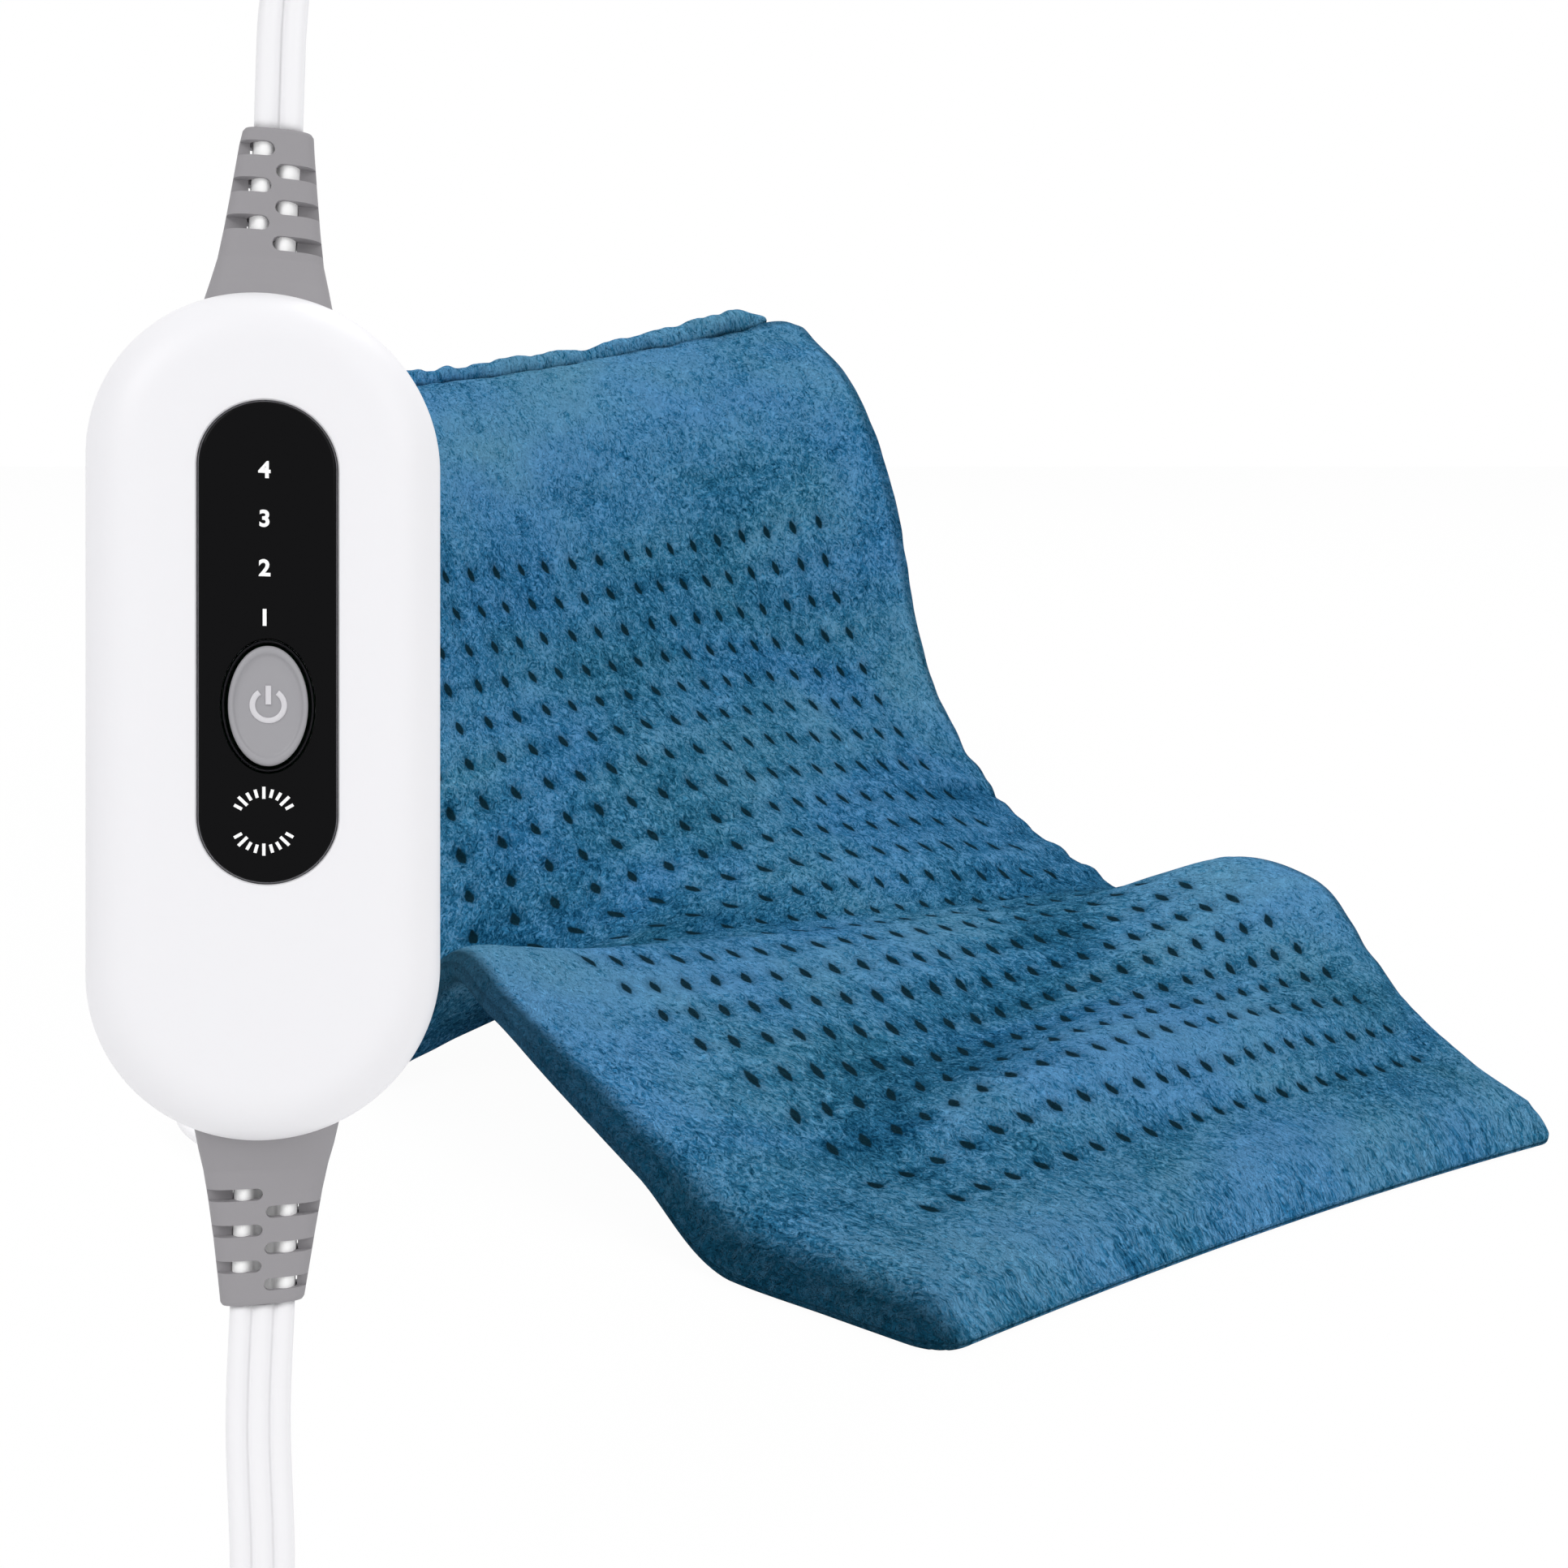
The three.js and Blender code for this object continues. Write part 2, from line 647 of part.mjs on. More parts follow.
function heatingWire() {
  const sides = 4;
  const first = heaterAcross[0];
  const last = heaterAcross[1];
  const [top, bottom] = [heaterAlong[0] + 1, heaterAlong[1] - 1];
  const stops = [];
  for (let column = first; column <= last; column += 1) {
    const rows = [];
    for (let row = top; row <= bottom; row += 1) rows.push(row);
    if ((column - first) % 2 === 1) rows.reverse();
    for (const row of rows) stops.push(padFrames[row][column]);
  }
  const centres = stops.map(({ point, normal }) => point.clone().addScaledVector(normal, wireCentreOffset));
  const rings = centres.map((centre, i) => {
    const before = centres[Math.max(i - 1, 0)];
    const after = centres[Math.min(i + 1, centres.length - 1)];
    const tangent = after.clone().sub(before).normalize();
    const up = stops[i].normal.clone().addScaledVector(tangent, -stops[i].normal.dot(tangent)).normalize();
    const side = tangent.clone().cross(up);
    const ring = [];
    for (let k = 0; k < sides; k += 1) {
      const angle = (2 * Math.PI * k) / sides;
      ring.push(centre.clone()
        .addScaledVector(up, (heatWireDiameter / 2) * Math.cos(angle))
        .addScaledVector(side, (heatWireDiameter / 2) * Math.sin(angle)));
    }
    return ring;
  });
  return ringBody(rings);
}
addPart('heating_wire', heatingWire(), 'wire');

// The hem is a soft roll along the pad's top edge

function topHem() {
  const rings = [];
  const sides = 8;
  for (let i = 0; i <= hemSteps; i += 1) {
    const { point, normal, down } = padFrame(i / hemSteps, 0);
    const centre = point.clone().addScaledVector(down, -(hemHeight / 2 + seatGap));
    const ring = [];
    for (let k = 0; k < sides; k += 1) {
      const angle = (2 * Math.PI * k) / sides;
      ring.push(centre.clone()
        .addScaledVector(down, (hemHeight / 2) * Math.cos(angle))
        .addScaledVector(normal, (hemThickness / 2) * Math.sin(angle)));
    }
    rings.push(ring);
  }
  return ringBody(rings);
}
addPart('pad_top_hem', topHem(), 'plush');

// The controller

const controller = new THREE.Group();
controller.position.set(...controllerPlace);
controller.rotation.set(-leanAngle, 0, turnAngle);
part.add(controller);
controller.updateMatrixWorld(true);

const frontFace = -bodyDepth / 2;
const backFace = bodyDepth / 2;
const frontInside = frontFace + bodyWall;
const backInside = backFace - bodyWall;
const bodyOuter = (extra = 0) => toSolid(plate(
  stadiumShape(bodyWidth + 2 * extra, bodyLength + 2 * extra),
  frontFace - extra, backFace + extra, bodyEdgeRadius + extra, 4,
));
const bodyInner = (spare = 0) => toSolid(plate(
  stadiumShape(bodyWidth - 2 * (bodyWall + spare), bodyLength - 2 * (bodyWall + spare)),
  frontInside + spare, backInside - spare, bodyEdgeRadius - bodyWall - spare, 2,
));
const halfSpace = (front, back) => toSolid(boxAt(
  bodyWidth + 2 * cutOverrun, back - front, bodyLength + 2 * cutOverrun, 0, (front + back) / 2, 0,
));

// Openings through the two ends for the strain reliefs' necks
const neckSize = (leadWidth, leadThickness) => [
  leadWidth + 2 * neckWidthWall, leadThickness + 2 * neckDepthWall,
];
const [upperNeckWidth, upperNeckDepth] = neckSize(mainsWidth, mainsThickness);
const [lowerNeckWidth, lowerNeckDepth] = neckSize(padLeadWidth, padLeadThickness);
const endOpening = (width, depth, sign) => toSolid(boxAt(
  width + 2 * seatGap, depth + 2 * seatGap, 2 * bodyWall + cutOverrun,
  0, 0, sign * (bodyLength / 2 - bodyWall / 2),
));

const screwAcross = bodyWidth / 2 - screwSideRoom;
const screwUp = bodyLength / 2 - screwEndRoom;
const screwPlaces = [[-1, -1], [1, -1], [-1, 1], [1, 1]].map(([x, z]) => [x * screwAcross, z * screwUp]);
const screwHeadSeat = backFace - 2 * screwHeadHeight;
const screwTip = partingDepth - screwBossBite;

let frontShell = bodyOuter().subtract(bodyInner())
  .intersect(halfSpace(frontFace - cutOverrun, partingDepth));
let rearShell = bodyOuter().subtract(bodyInner())
  .intersect(halfSpace(partingDepth + seatGap, backFace + cutOverrun));
for (const [x, z] of screwPlaces) {
  const frontBoss = toSolid(barAt(screwBossDiameter, frontInside - bodyWall / 2, partingDepth, x, z));
  const frontBore = toSolid(barAt(screwShankDiameter + 2 * seatGap, screwTip - seatGap, partingDepth + cutOverrun, x, z));
  frontShell = frontShell.add(frontBoss).subtract(frontBore);
  const rearBoss = toSolid(barAt(screwBossDiameter + 2 * bodyWall, partingDepth + seatGap, backFace - bodyWall / 2, x, z))
    .intersect(bodyOuter());
  const rearBore = toSolid(barAt(screwShankDiameter + 2 * seatGap, partingDepth - cutOverrun, backFace, x, z));
  const counterbore = toSolid(barAt(screwHeadDiameter + 2 * seatGap, screwHeadSeat - seatGap, backFace + cutOverrun, x, z));
  rearShell = rearShell.add(rearBoss).subtract(rearBore).subtract(counterbore);
}
const upperOpening = endOpening(upperNeckWidth, upperNeckDepth, 1);
const lowerOpening = endOpening(lowerNeckWidth, lowerNeckDepth, -1);

// The front shell's recess for the panel, with the button's and the lamps' openings in its floor
const panelFront = frontFace - panelProud;
const panelBack = panelFront + panelThickness;
const buttonHole = ovalShape(buttonWidth + 2 * (buttonFit + collarWidth), buttonLength + 2 * (buttonFit + collarWidth));
const recess = toSolid(plate(
  stadiumShape(panelWidth + 2 * panelFit, panelLength + 2 * panelFit),
  frontFace - cutOverrun, panelBack + seatGap,
).translate(0, 0, panelCentreUp));
const buttonThrough = toSolid(plate(buttonHole, frontFace - cutOverrun, frontInside + cutOverrun)
  .translate(0, 0, buttonCentreUp));
const lampUp = lampAbovePanelCentre.map((above) => panelCentreUp + above);
const guideTop = lampUp[0] + guideMargin;
const guideBottom = lampUp[lampUp.length - 1] - guideMargin;
const guideLength = guideTop - guideBottom;
const guideUp = (guideTop + guideBottom) / 2;
const lampWindow = toSolid(boxAt(guideWidth + 2 * seatGap, bodyWall + 2 * cutOverrun, guideLength + 2 * seatGap,
  lampAcross, frontInside, guideUp));
frontShell = frontShell.subtract(recess).subtract(buttonThrough).subtract(lampWindow)
  .subtract(upperOpening).subtract(lowerOpening);

// Two posts on the rear shell carry the circuit board
const boardBack = boardBackDepth;
const boardFront = boardBack - boardThickness;
const boardLength = bodyLength - 2 * boardEndRoom;
const boardTop = boardCentreUp + boardLength / 2;
const boardBottom = boardCentreUp - boardLength / 2;
for (const z of [boardBottom + postEndRoom, boardTop - postEndRoom]) {
  const post = toSolid(boxAt(boardWidth / 2, backInside + bodyWall / 2 - boardBack - seatGap, postWidth,
    0, (backInside + bodyWall / 2 + boardBack + seatGap) / 2, z));
  rearShell = rearShell.add(post);
}
const plateRecess = toSolid(plate(boxShape(plateWidth + 2 * panelFit, plateLength + 2 * panelFit, postWidth),
  backFace - plateThickness - seatGap / 2, backFace + cutOverrun, 0, 1, slotSteps).translate(0, 0, plateUp));
rearShell = rearShell.subtract(plateRecess).subtract(upperOpening).subtract(lowerOpening);

addPart('front_housing', fromSolid(frontShell), 'whiteShell', controller);
addPart('rear_housing', fromSolid(rearShell), 'whiteShell', controller);
addPart('rating_plate', plate(boxShape(plateWidth, plateLength, postWidth),
  backFace - plateThickness, backFace, 0, 1, slotSteps).translate(0, 0, plateUp), 'steel', controller);

// The black panel with the button's oval hole
const panelHole = toSolid(plate(buttonHole, panelFront - cutOverrun, panelBack + cutOverrun)
  .translate(0, 0, buttonCentreUp));
const panelSolid = toSolid(plate(stadiumShape(panelWidth, panelLength), panelFront, panelBack, panelRim, 2, roundSteps)
  .translate(0, 0, panelCentreUp)).subtract(panelHole);
addPart('display_panel', fromSolid(panelSolid), 'gloss', controller);

// The dark collar lines the button's hole
const collarSolid = toSolid(plate(
  ovalShape(buttonWidth + 2 * (buttonFit + collarWidth - seatGap), buttonLength + 2 * (buttonFit + collarWidth - seatGap)),
  panelFront, panelBack,
)).subtract(toSolid(plate(
  ovalShape(buttonWidth + 2 * buttonFit, buttonLength + 2 * buttonFit),
  panelFront - cutOverrun, panelBack + cutOverrun,
)));
addPart('button_collar', fromSolid(collarSolid).translate(0, 0, buttonCentreUp), 'darkTrim', controller);

// The power button: an oval cap with a dished face and a raised sign, a flange behind the wall, a stem
const buttonFront = panelFront - buttonProud;
const flangeFront = frontInside + seatGap;
const flangeBack = flangeFront + buttonFlangeThickness;
const switchFront = boardFront - seatGap - (switchSide / 2 + switchBase);
const plungerFront = switchFront - buttonTravel - seatGap;
const stemBack = plungerFront - seatGap;
function powerButton() {
  const cap = toSolid(plate(ovalShape(buttonWidth, buttonLength), buttonFront, flangeBack, symbolLine, 2, roundSteps));
  const flangeGrow = 2 * (buttonFit + collarWidth + buttonFlange);
  const flange = toSolid(plate(ovalShape(buttonWidth + flangeGrow, buttonLength + flangeGrow), flangeFront, flangeBack));
  const stem = toSolid(barAt(buttonStemDiameter, flangeBack - buttonFlangeThickness / 2, stemBack, 0, 0));
  const dish = toSolid(plate(
    ovalShape(buttonWidth - 2 * buttonRim, buttonLength - 2 * buttonRim),
    buttonFront - cutOverrun, buttonFront + buttonDish, buttonDish / 2, 1, roundSteps,
  ));
  const ring = new THREE.Shape();
  const [low, high] = [Math.PI / 2 + symbolGapAngle, 2.5 * Math.PI - symbolGapAngle];
  ring.absarc(0, 0, symbolRadius + symbolLine / 2, low, high, false);
  ring.absarc(0, 0, symbolRadius - symbolLine / 2, high, low, true);
  ring.closePath();
  const signFront = buttonFront + buttonDish - symbolHeight;
  const sign = toSolid(plate(ring, signFront, buttonFront + 2 * buttonDish))
    .add(toSolid(boxAt(symbolLine, 2 * buttonDish - (buttonDish - symbolHeight), symbolRadius,
      0, (signFront + buttonFront + 2 * buttonDish) / 2, symbolRadius * symbolBarShare)));
  return fromSolid(cap.add(flange).add(stem).subtract(dish).add(sign));
}
addPart('power_button', powerButton().translate(0, 0, buttonCentreUp), 'greyButton', controller);

// The circuit board and what it carries
addPart('circuit_board', boxAt(boardWidth, boardThickness, boardLength, 0, (boardFront + boardBack) / 2, boardCentreUp),
  'board', controller);
const switchBack = boardFront - seatGap;
const switchBody = toSolid(boxAt(switchSide, switchBack - switchFront, switchSide, 0, (switchFront + switchBack) / 2, 0))
  .subtract(toSolid(barAt(switchBoreDiameter, switchFront - cutOverrun, switchBack - switchBase, 0, 0)));
addPart('switch_body', fromSolid(switchBody).translate(0, 0, buttonCentreUp), 'blackPart', controller);
const domeBack = switchBack - switchBase - seatGap;
const domeRadius = plungerDiameter / 2;
const dome = new THREE.LatheGeometry([
  new THREE.Vector2(0, 0), new THREE.Vector2(domeRadius, 0), new THREE.Vector2(domeRadius * domeShoulderShare, domeHeight * domeShoulderShare),
  new THREE.Vector2(0, domeHeight),
], roundSteps).rotateX(Math.PI).translate(0, domeBack, buttonCentreUp);
addPart('switch_dome', positionsOnly(dome), 'steel', controller);
addPart('switch_plunger', barAt(plungerDiameter, plungerFront, domeBack - domeHeight - buttonTravel - seatGap, 0, buttonCentreUp,
  roundSteps), 'darkTrim', controller);

const lampBack = boardFront - seatGap;
lampUp.forEach((z, i) => addPart(
  `level_lamp_${lampUp.length - i}`,
  boxAt(lampSide, lampHeight, lampSide, lampAcross, lampBack - lampHeight / 2, z), 'clear', controller,
));
const guideFront = panelBack + seatGap;
addPart('light_guide', boxAt(guideWidth, guideThickness, guideLength, lampAcross, guideFront + guideThickness / 2, guideUp),
  'clear', controller);

const onBack = (name, [width, depth, length], [x, up], finish) => addPart(
  name, boxAt(width, depth, length, x, boardBack + seatGap + depth / 2, buttonCentreUp + up), finish, controller,
);
const onFront = (name, [width, depth, length], x, z, finish) => addPart(
  name, boxAt(width, depth, length, x, boardFront - seatGap - depth / 2, z), finish, controller,
);
const terminalRoom = terminalEndRoom + upperTerminalSize[2] / 2;
onBack('suppression_capacitor', capacitorSize, capacitorPlace, 'yellowPart');
onBack('triac', triacSize, triacPlace, 'blackPart');
onFront('control_chip', chipSize, chipPlace[0], buttonCentreUp + chipPlace[1], 'blackPart');
onFront('terminal_block_upper', upperTerminalSize, upperTerminalAcross, boardTop - terminalRoom, 'whiteVinyl');
onFront('terminal_block_lower', lowerTerminalSize, 0, boardBottom + terminalRoom, 'whiteVinyl');
addPart('thermal_fuse', new THREE.CylinderGeometry(fuseDiameter / 2, fuseDiameter / 2, fuseLength, roundSteps)
  .rotateX(Math.PI / 2)
  .translate(fusePlace[0], boardBack + seatGap + fuseDiameter / 2, buttonCentreUp + fusePlace[1]),
'yellowPart', controller);

screwPlaces.forEach(([x, z], i) => addPart(`case_screw_${i + 1}`, fromSolid(
  toSolid(barAt(screwHeadDiameter, screwHeadSeat, screwHeadSeat + screwHeadHeight, x, z))
    .add(toSolid(barAt(screwShankDiameter, screwTip, screwHeadSeat + screwHeadHeight / 2, x, z, roundSteps))),
), 'steel', controller));

// Strain reliefs: a tapered sleeve, a neck through the housing's end and a flange inside it

function strainRelief(relief, leadWidth, leadThickness) {
  const [neckWidth, neckDepth] = neckSize(leadWidth, leadThickness);
  const end = bodyLength / 2;
  const levels = relief.levels.map(([beyond, width, depth]) => [end + beyond, width, depth]);
  const [tip] = levels[0];
  const [root, widest, deepest] = levels[levels.length - 1];
  const driftAt = (z) => (relief.tipDrift * (z - root)) / (tip - root);
  const rings = levels.map(([z, width, depth]) => roundedRing(width, depth, driftAt(z), z));
  const flangeTop = end - bodyWall - seatGap;
  const neck = toSolid(boxAt(neckWidth, neckDepth, 2 * bodyWall + cutOverrun, 0, 0, end));
  const flange = toSolid(boxAt(neckWidth + 2 * neckFlange, neckDepth + 2 * neckFlange, 2 * neckFlangeThickness,
    0, 0, flangeTop - neckFlangeThickness)).intersect(bodyInner(seatGap));
  const bore = ringBody([flangeTop - cutOverrun, root, tip + cutOverrun].map((z) => roundedRing(
    leadWidth + 2 * seatGap, leadThickness + 2 * seatGap, Math.max(0, Math.sign(z - root)) * driftAt(z), z,
  )));
  let body = toSolid(ringBody(rings)).subtract(bodyOuter(seatGap)).add(neck).add(flange).subtract(toSolid(bore));
  for (const [side, places] of [[-1, relief.slotsLeft], [1, relief.slotsRight]]) {
    for (const z of places.map((beyond) => end + beyond)) {
      for (const face of [-1, 1]) {
        const slotShape = stadiumShape(relief.slotHeight, widest);
        const centreX = relief.slotEnd + side * (widest / 2);
        const slot = plate(slotShape, reliefWeb, deepest, 0, 1, slotSteps).rotateY(Math.PI / 2).translate(centreX, 0, z);
        body = body.subtract(toSolid(face === 1 ? slot : slot.clone().rotateX(Math.PI).translate(0, 0, 2 * z)));
      }
    }
  }
  return { solid: body, tip, root, driftAt, flangeTop };
}

// The lead's own end inside the sleeve, from the clamp to the tip
function leadEnd(relief, leadWidth, leadThickness) {
  const inner = relief.flangeTop - 2 * neckFlangeThickness - 1.5 * clampLength - seatGap;
  const route = new LeadRoute([
    new THREE.Vector3(0, 0, inner), new THREE.Vector3(0, 0, (inner + relief.root) / 2),
    new THREE.Vector3(0, 0, relief.root),
    new THREE.Vector3(relief.driftAt((relief.root + relief.tip) / 2), 0, (relief.root + relief.tip) / 2),
    new THREE.Vector3(relief.driftAt(relief.tip), 0, relief.tip),
  ], [[0, across], [1, across]]);
  return leadAlong(route, leadWidth, leadThickness, leadEndSteps);
}

const upper = strainRelief(upperRelief, mainsWidth, mainsThickness);
const lower = strainRelief(lowerRelief, padLeadWidth, padLeadThickness);
const turnDown = (geometry) => geometry.rotateX(Math.PI);
addPart('upper_strain_relief', fromSolid(upper.solid), 'greyRubber', controller);
addPart('lower_strain_relief', turnDown(fromSolid(lower.solid)), 'greyRubber', controller);
addPart('mains_lead_end', leadEnd(upper, mainsWidth, mainsThickness), 'whiteVinyl', controller);
addPart('pad_lead_end', turnDown(leadEnd(lower, padLeadWidth, padLeadThickness)), 'whiteVinyl', controller);

// A clamp bar behind each lead end holds it against the board's end
function leadClamp(relief, leadWidth, leadThickness) {
  const z = relief.flangeTop - 2 * neckFlangeThickness - clampLength;
  const reach = leadWidth + 2 * (clampThickness + seatGap);
  const ring = toSolid(boxAt(reach, leadThickness + 2 * (clampThickness + seatGap), clampLength, 0, 0, z));
  return ring.subtract(toSolid(boxAt(leadWidth + 2 * seatGap, leadThickness + 2 * seatGap, clampLength + cutOverrun, 0, 0, z)));
}
addPart('lead_clamp_upper', fromSolid(leadClamp(upper, mainsWidth, mainsThickness)), 'whiteShell', controller);
addPart('lead_clamp_lower', turnDown(fromSolid(leadClamp(lower, padLeadWidth, padLeadThickness))), 'whiteShell', controller);

// The mains lead: up out of the controller, over the hook, down to the surface, into its coil

const upperExit = controller.localToWorld(new THREE.Vector3(upper.driftAt(upper.tip), 0, upper.tip + seatGap));
const lowerExit = controller.localToWorld(new THREE.Vector3(lower.driftAt(lower.tip), 0, -lower.tip - seatGap));
const coilLowHeight = tieThickness + tieGap + mainsWidth / 2;
const coilHighHeight = coilLowHeight + mainsWidth + coilLayerGap;
const coilEntry = new THREE.Vector3(coilCentre[0], coilCentre[1] + coilOuterRadius, coilLowHeight);

const mainsPoints = [
  [-204.3, -165.3, 270.6], [-203.8, -162.2, 284.3], [-206.1, -164, 298.9], [-212.6, -169.1, 311.2],
  [-222.4, -176.6, 319.5], [-233.9, -185.6, 322.4], [-245.4, -194.6, 319.5], [-255.2, -202.1, 311.2],
  [-261.7, -207.2, 298.9], [-264, -209, 284.3], [-264, -209.5, 250], [-264, -210, 200],
  [-264, -210.4, 150], [-264, -210.7, 100], [-264, -211, 60], [-264, -211, 34],
  [-268.3, -211, 18], [-280, -211, 6.3], [-296, -211, 2.1], [-316, -211, 3.2], [-336, -211, 4.5],
  [-356, -211, 5],
];
const overHook = vector([0.614, -0.789, 0]);
const coilStart = coilEntry.clone().add(vector([coilExit + seatGap, 0, 0]));
const controllerAcross = across.clone().transformDirection(controller.matrixWorld);
const mainsRoute = new LeadRoute([upperExit, ...mainsPoints.map(vector), coilStart], [
  [0, controllerAcross], [0.03, controllerAcross], [0.1, overHook], [0.28, overHook], [0.5, alongY], [0.86, alongY],
  [0.95, onEdge], [1, onEdge],
]);
addPart('mains_lead', leadAlong(mainsRoute, mainsWidth, mainsThickness, mainsSteps), 'whiteVinyl');

// The coil: a flat lead on its edge, spiralling in below and out again above
const coilTurns = 2 * coilLayerTurns + 0.5;
class CoilRoute extends THREE.Curve {
  getPoint(share) {
    const straight = coilExit / (2 * Math.PI * coilOuterRadius);
    const total = coilTurns + 2 * straight;
    const turn = share * total - straight;
    const wound = THREE.MathUtils.clamp(turn, 0, coilTurns);
    const inward = Math.min(wound, coilLayerTurns);
    const outward = Math.max(wound - coilLayerTurns - 0.5, 0);
    const climb = THREE.MathUtils.smoothstep(wound, coilLayerTurns, coilLayerTurns + 0.5);
    const dip = THREE.MathUtils.smoothstep(wound, coilLayerTurns - 0.5, coilLayerTurns)
      - THREE.MathUtils.smoothstep(wound, coilLayerTurns + 0.5, coilLayerTurns + 1);
    const radius = coilOuterRadius - coilPitch * (inward - outward) - coilInnerDip * dip;
    const angle = Math.PI / 2 + 2 * Math.PI * wound;
    const point = new THREE.Vector3(
      coilCentre[0] + radius * Math.cos(angle), coilCentre[1] + radius * Math.sin(angle),
      coilLowHeight + (coilHighHeight - coilLowHeight) * climb,
    );
    const over = (turn - wound) * 2 * Math.PI * coilOuterRadius;
    point.x += (over > 0 ? over : 0) - (over < 0 ? over : 0);
    return point;
  }

  getPointAt(share) {
    return this.getPoint(share);
  }

  getTangentAt(share) {
    const step = 1e-4;
    return this.getPoint(Math.min(share + step, 1)).sub(this.getPoint(Math.max(share - step, 0))).normalize();
  }

  computeFrenetFrames(segments) {
    return steeredFrames(this, segments, () => onEdge);
  }
}
const coilRoute = new CoilRoute();
const coilSteps = Math.round(loopSteps * coilTurns) + 4;
addPart('mains_coil', leadAlong(coilRoute, mainsWidth, mainsThickness, coilSteps, 2), 'whiteVinyl');

// The least gap between two turns of the coil, measured on its points
function coilSelfGap() {
  let least = Infinity;
  const places = [];
  for (let i = 0; i <= coilSteps; i += 1) places.push(coilRoute.getPoint(i / coilSteps));
  for (let i = 0; i < places.length; i += 1) {
    for (let k = i + loopSteps / 2; k < places.length; k += 1) {
      const apart = places[k].clone().sub(places[i]);
      const level = Math.hypot(apart.x, apart.y) - mainsThickness;
      const upright = Math.abs(apart.z) - mainsWidth;
      least = Math.min(least, Math.max(level, upright));
    }
  }
  return least;
}
console.log('least gap between the coil turns, mm:', coilSelfGap().toFixed(2));

// A band ties the coil's turns together on its left side
const bundleTop = coilHighHeight + mainsWidth / 2;
const bundleOuter = coilOuterRadius + mainsThickness / 2;
const bundleInner = coilOuterRadius - coilPitch * coilLayerTurns - coilInnerDip / 2 - mainsThickness / 2;
const tieX = coilCentre[0] - (bundleOuter + bundleInner) / 2;
const tieReach = bundleOuter - bundleInner + 2 * tieGap;
const tieInside = toSolid(boxAt(tieReach, tieWidth + cutOverrun, bundleTop + tieGap - tieThickness,
  tieX, coilCentre[1], (bundleTop + tieGap + tieThickness) / 2));
const tieOutside = toSolid(boxAt(tieReach + 2 * tieThickness, tieWidth, bundleTop + tieGap + tieThickness,
  tieX, coilCentre[1], (bundleTop + tieGap + tieThickness) / 2));
addPart('coil_tie', fromSolid(tieOutside.subtract(tieInside)), 'tieFabric');

// The mains plug lies beside the coil, its blades to the right
const plugStart = new THREE.Vector3(coilCentre[0] + coilExit + seatGap, coilCentre[1] - coilOuterRadius, coilHighHeight);
const plugMatrix = new THREE.Matrix4().makeBasis(onEdge, alongY, across).setPosition(plugStart);
const plugHeight = 2 * (coilHighHeight - seatGap);
const plugShoulder = plugReliefLength + plugThickness / 4;
let plugBody = toSolid(ringBody([
  roundedRing(mainsWidth + plugTipSpare, mainsThickness + plugTipSpare, 0, 0),
  roundedRing(mainsWidth + plugSleeveSpare[0], mainsThickness + plugSleeveSpare[1], 0, plugReliefLength),
  roundedRing(plugHeight * plugShoulderShares[0], plugThickness * plugShoulderShares[1], 0, plugReliefLength),
  roundedRing(plugHeight, plugThickness, 0, plugShoulder),
  roundedRing(plugHeight, plugThickness, 0, plugReliefLength + plugBodyLength),
]));
const bladeRoot = plugReliefLength + plugBodyLength / 2;
const bladeReach = plugBodyLength / 2 + bladeLength;
const blades = [-1, 1].map((side) => boxAt(bladeThickness, bladeWidth, bladeReach,
  (side * bladeSpacing) / 2, 0, bladeRoot + bladeReach / 2));
for (const side of [-1, 1]) {
  plugBody = plugBody.subtract(toSolid(boxAt(bladeThickness + 2 * seatGap, bladeWidth + 2 * seatGap,
    bladeReach + 2 * seatGap, (side * bladeSpacing) / 2, 0, bladeRoot + bladeReach / 2)));
}
addPart('mains_plug_body', fromSolid(plugBody).applyMatrix4(plugMatrix), 'whiteShell');
blades.forEach((blade, i) => addPart(`plug_blade_${i + 1}`, blade.applyMatrix4(plugMatrix), 'brassBlade'));

// The hook: a saddle under the lead, a cheek behind it and a tab with an eye to hang it by
function arcBand(inner, outer, from, to, front, back) {
  const shape = new THREE.Shape();
  const [a, b] = [THREE.MathUtils.degToRad(from), THREE.MathUtils.degToRad(to)];
  shape.absarc(0, 0, outer, a, b, false);
  shape.absarc(0, 0, inner, b, a, true);
  shape.closePath();
  return toSolid(plate(shape, front, back, 0, 1, boreSides));
}

function hangerHook() {
  const seat = saddleRadius - mainsThickness / 2 - seatGap;
  const under = seat - saddleBand;
  const side = mainsWidth / 2 + 2 * seatGap;
  const cheekTop = saddleRadius + mainsThickness / 2 + saddleLip / 2;
  const band = arcBand(under, seat, ...saddleSpan, -side - saddleCheek, side + saddleCheek);
  const lip = arcBand(under, seat + saddleLip / 2, ...saddleSpan, -side - saddleCheek, -side);
  const cheek = arcBand(under, cheekTop, ...saddleSpan, side, side + saddleCheek);
  const tabHeight = hookTabTop - seat;
  const tab = toSolid(boxAt(hookTabWidth, saddleCheek, tabHeight, 0, side + saddleCheek / 2, seat + tabHeight / 2));
  const eye = toSolid(barAt(hookEyeDiameter, side - cutOverrun, side + saddleCheek + cutOverrun,
    0, hookTabTop - hookEyeDiameter));
  return band.add(lip).add(cheek).add(tab).subtract(eye);
}
const hookMatrix = new THREE.Matrix4().makeRotationZ(THREE.MathUtils.degToRad(saddleTurn))
  .setPosition(vector(saddleCentre));
addPart('lead_hanger', fromSolid(hangerHook()).applyMatrix4(hookMatrix), 'steel');

// The pad's lead: down from the controller, under it and back over the surface, into the grommet

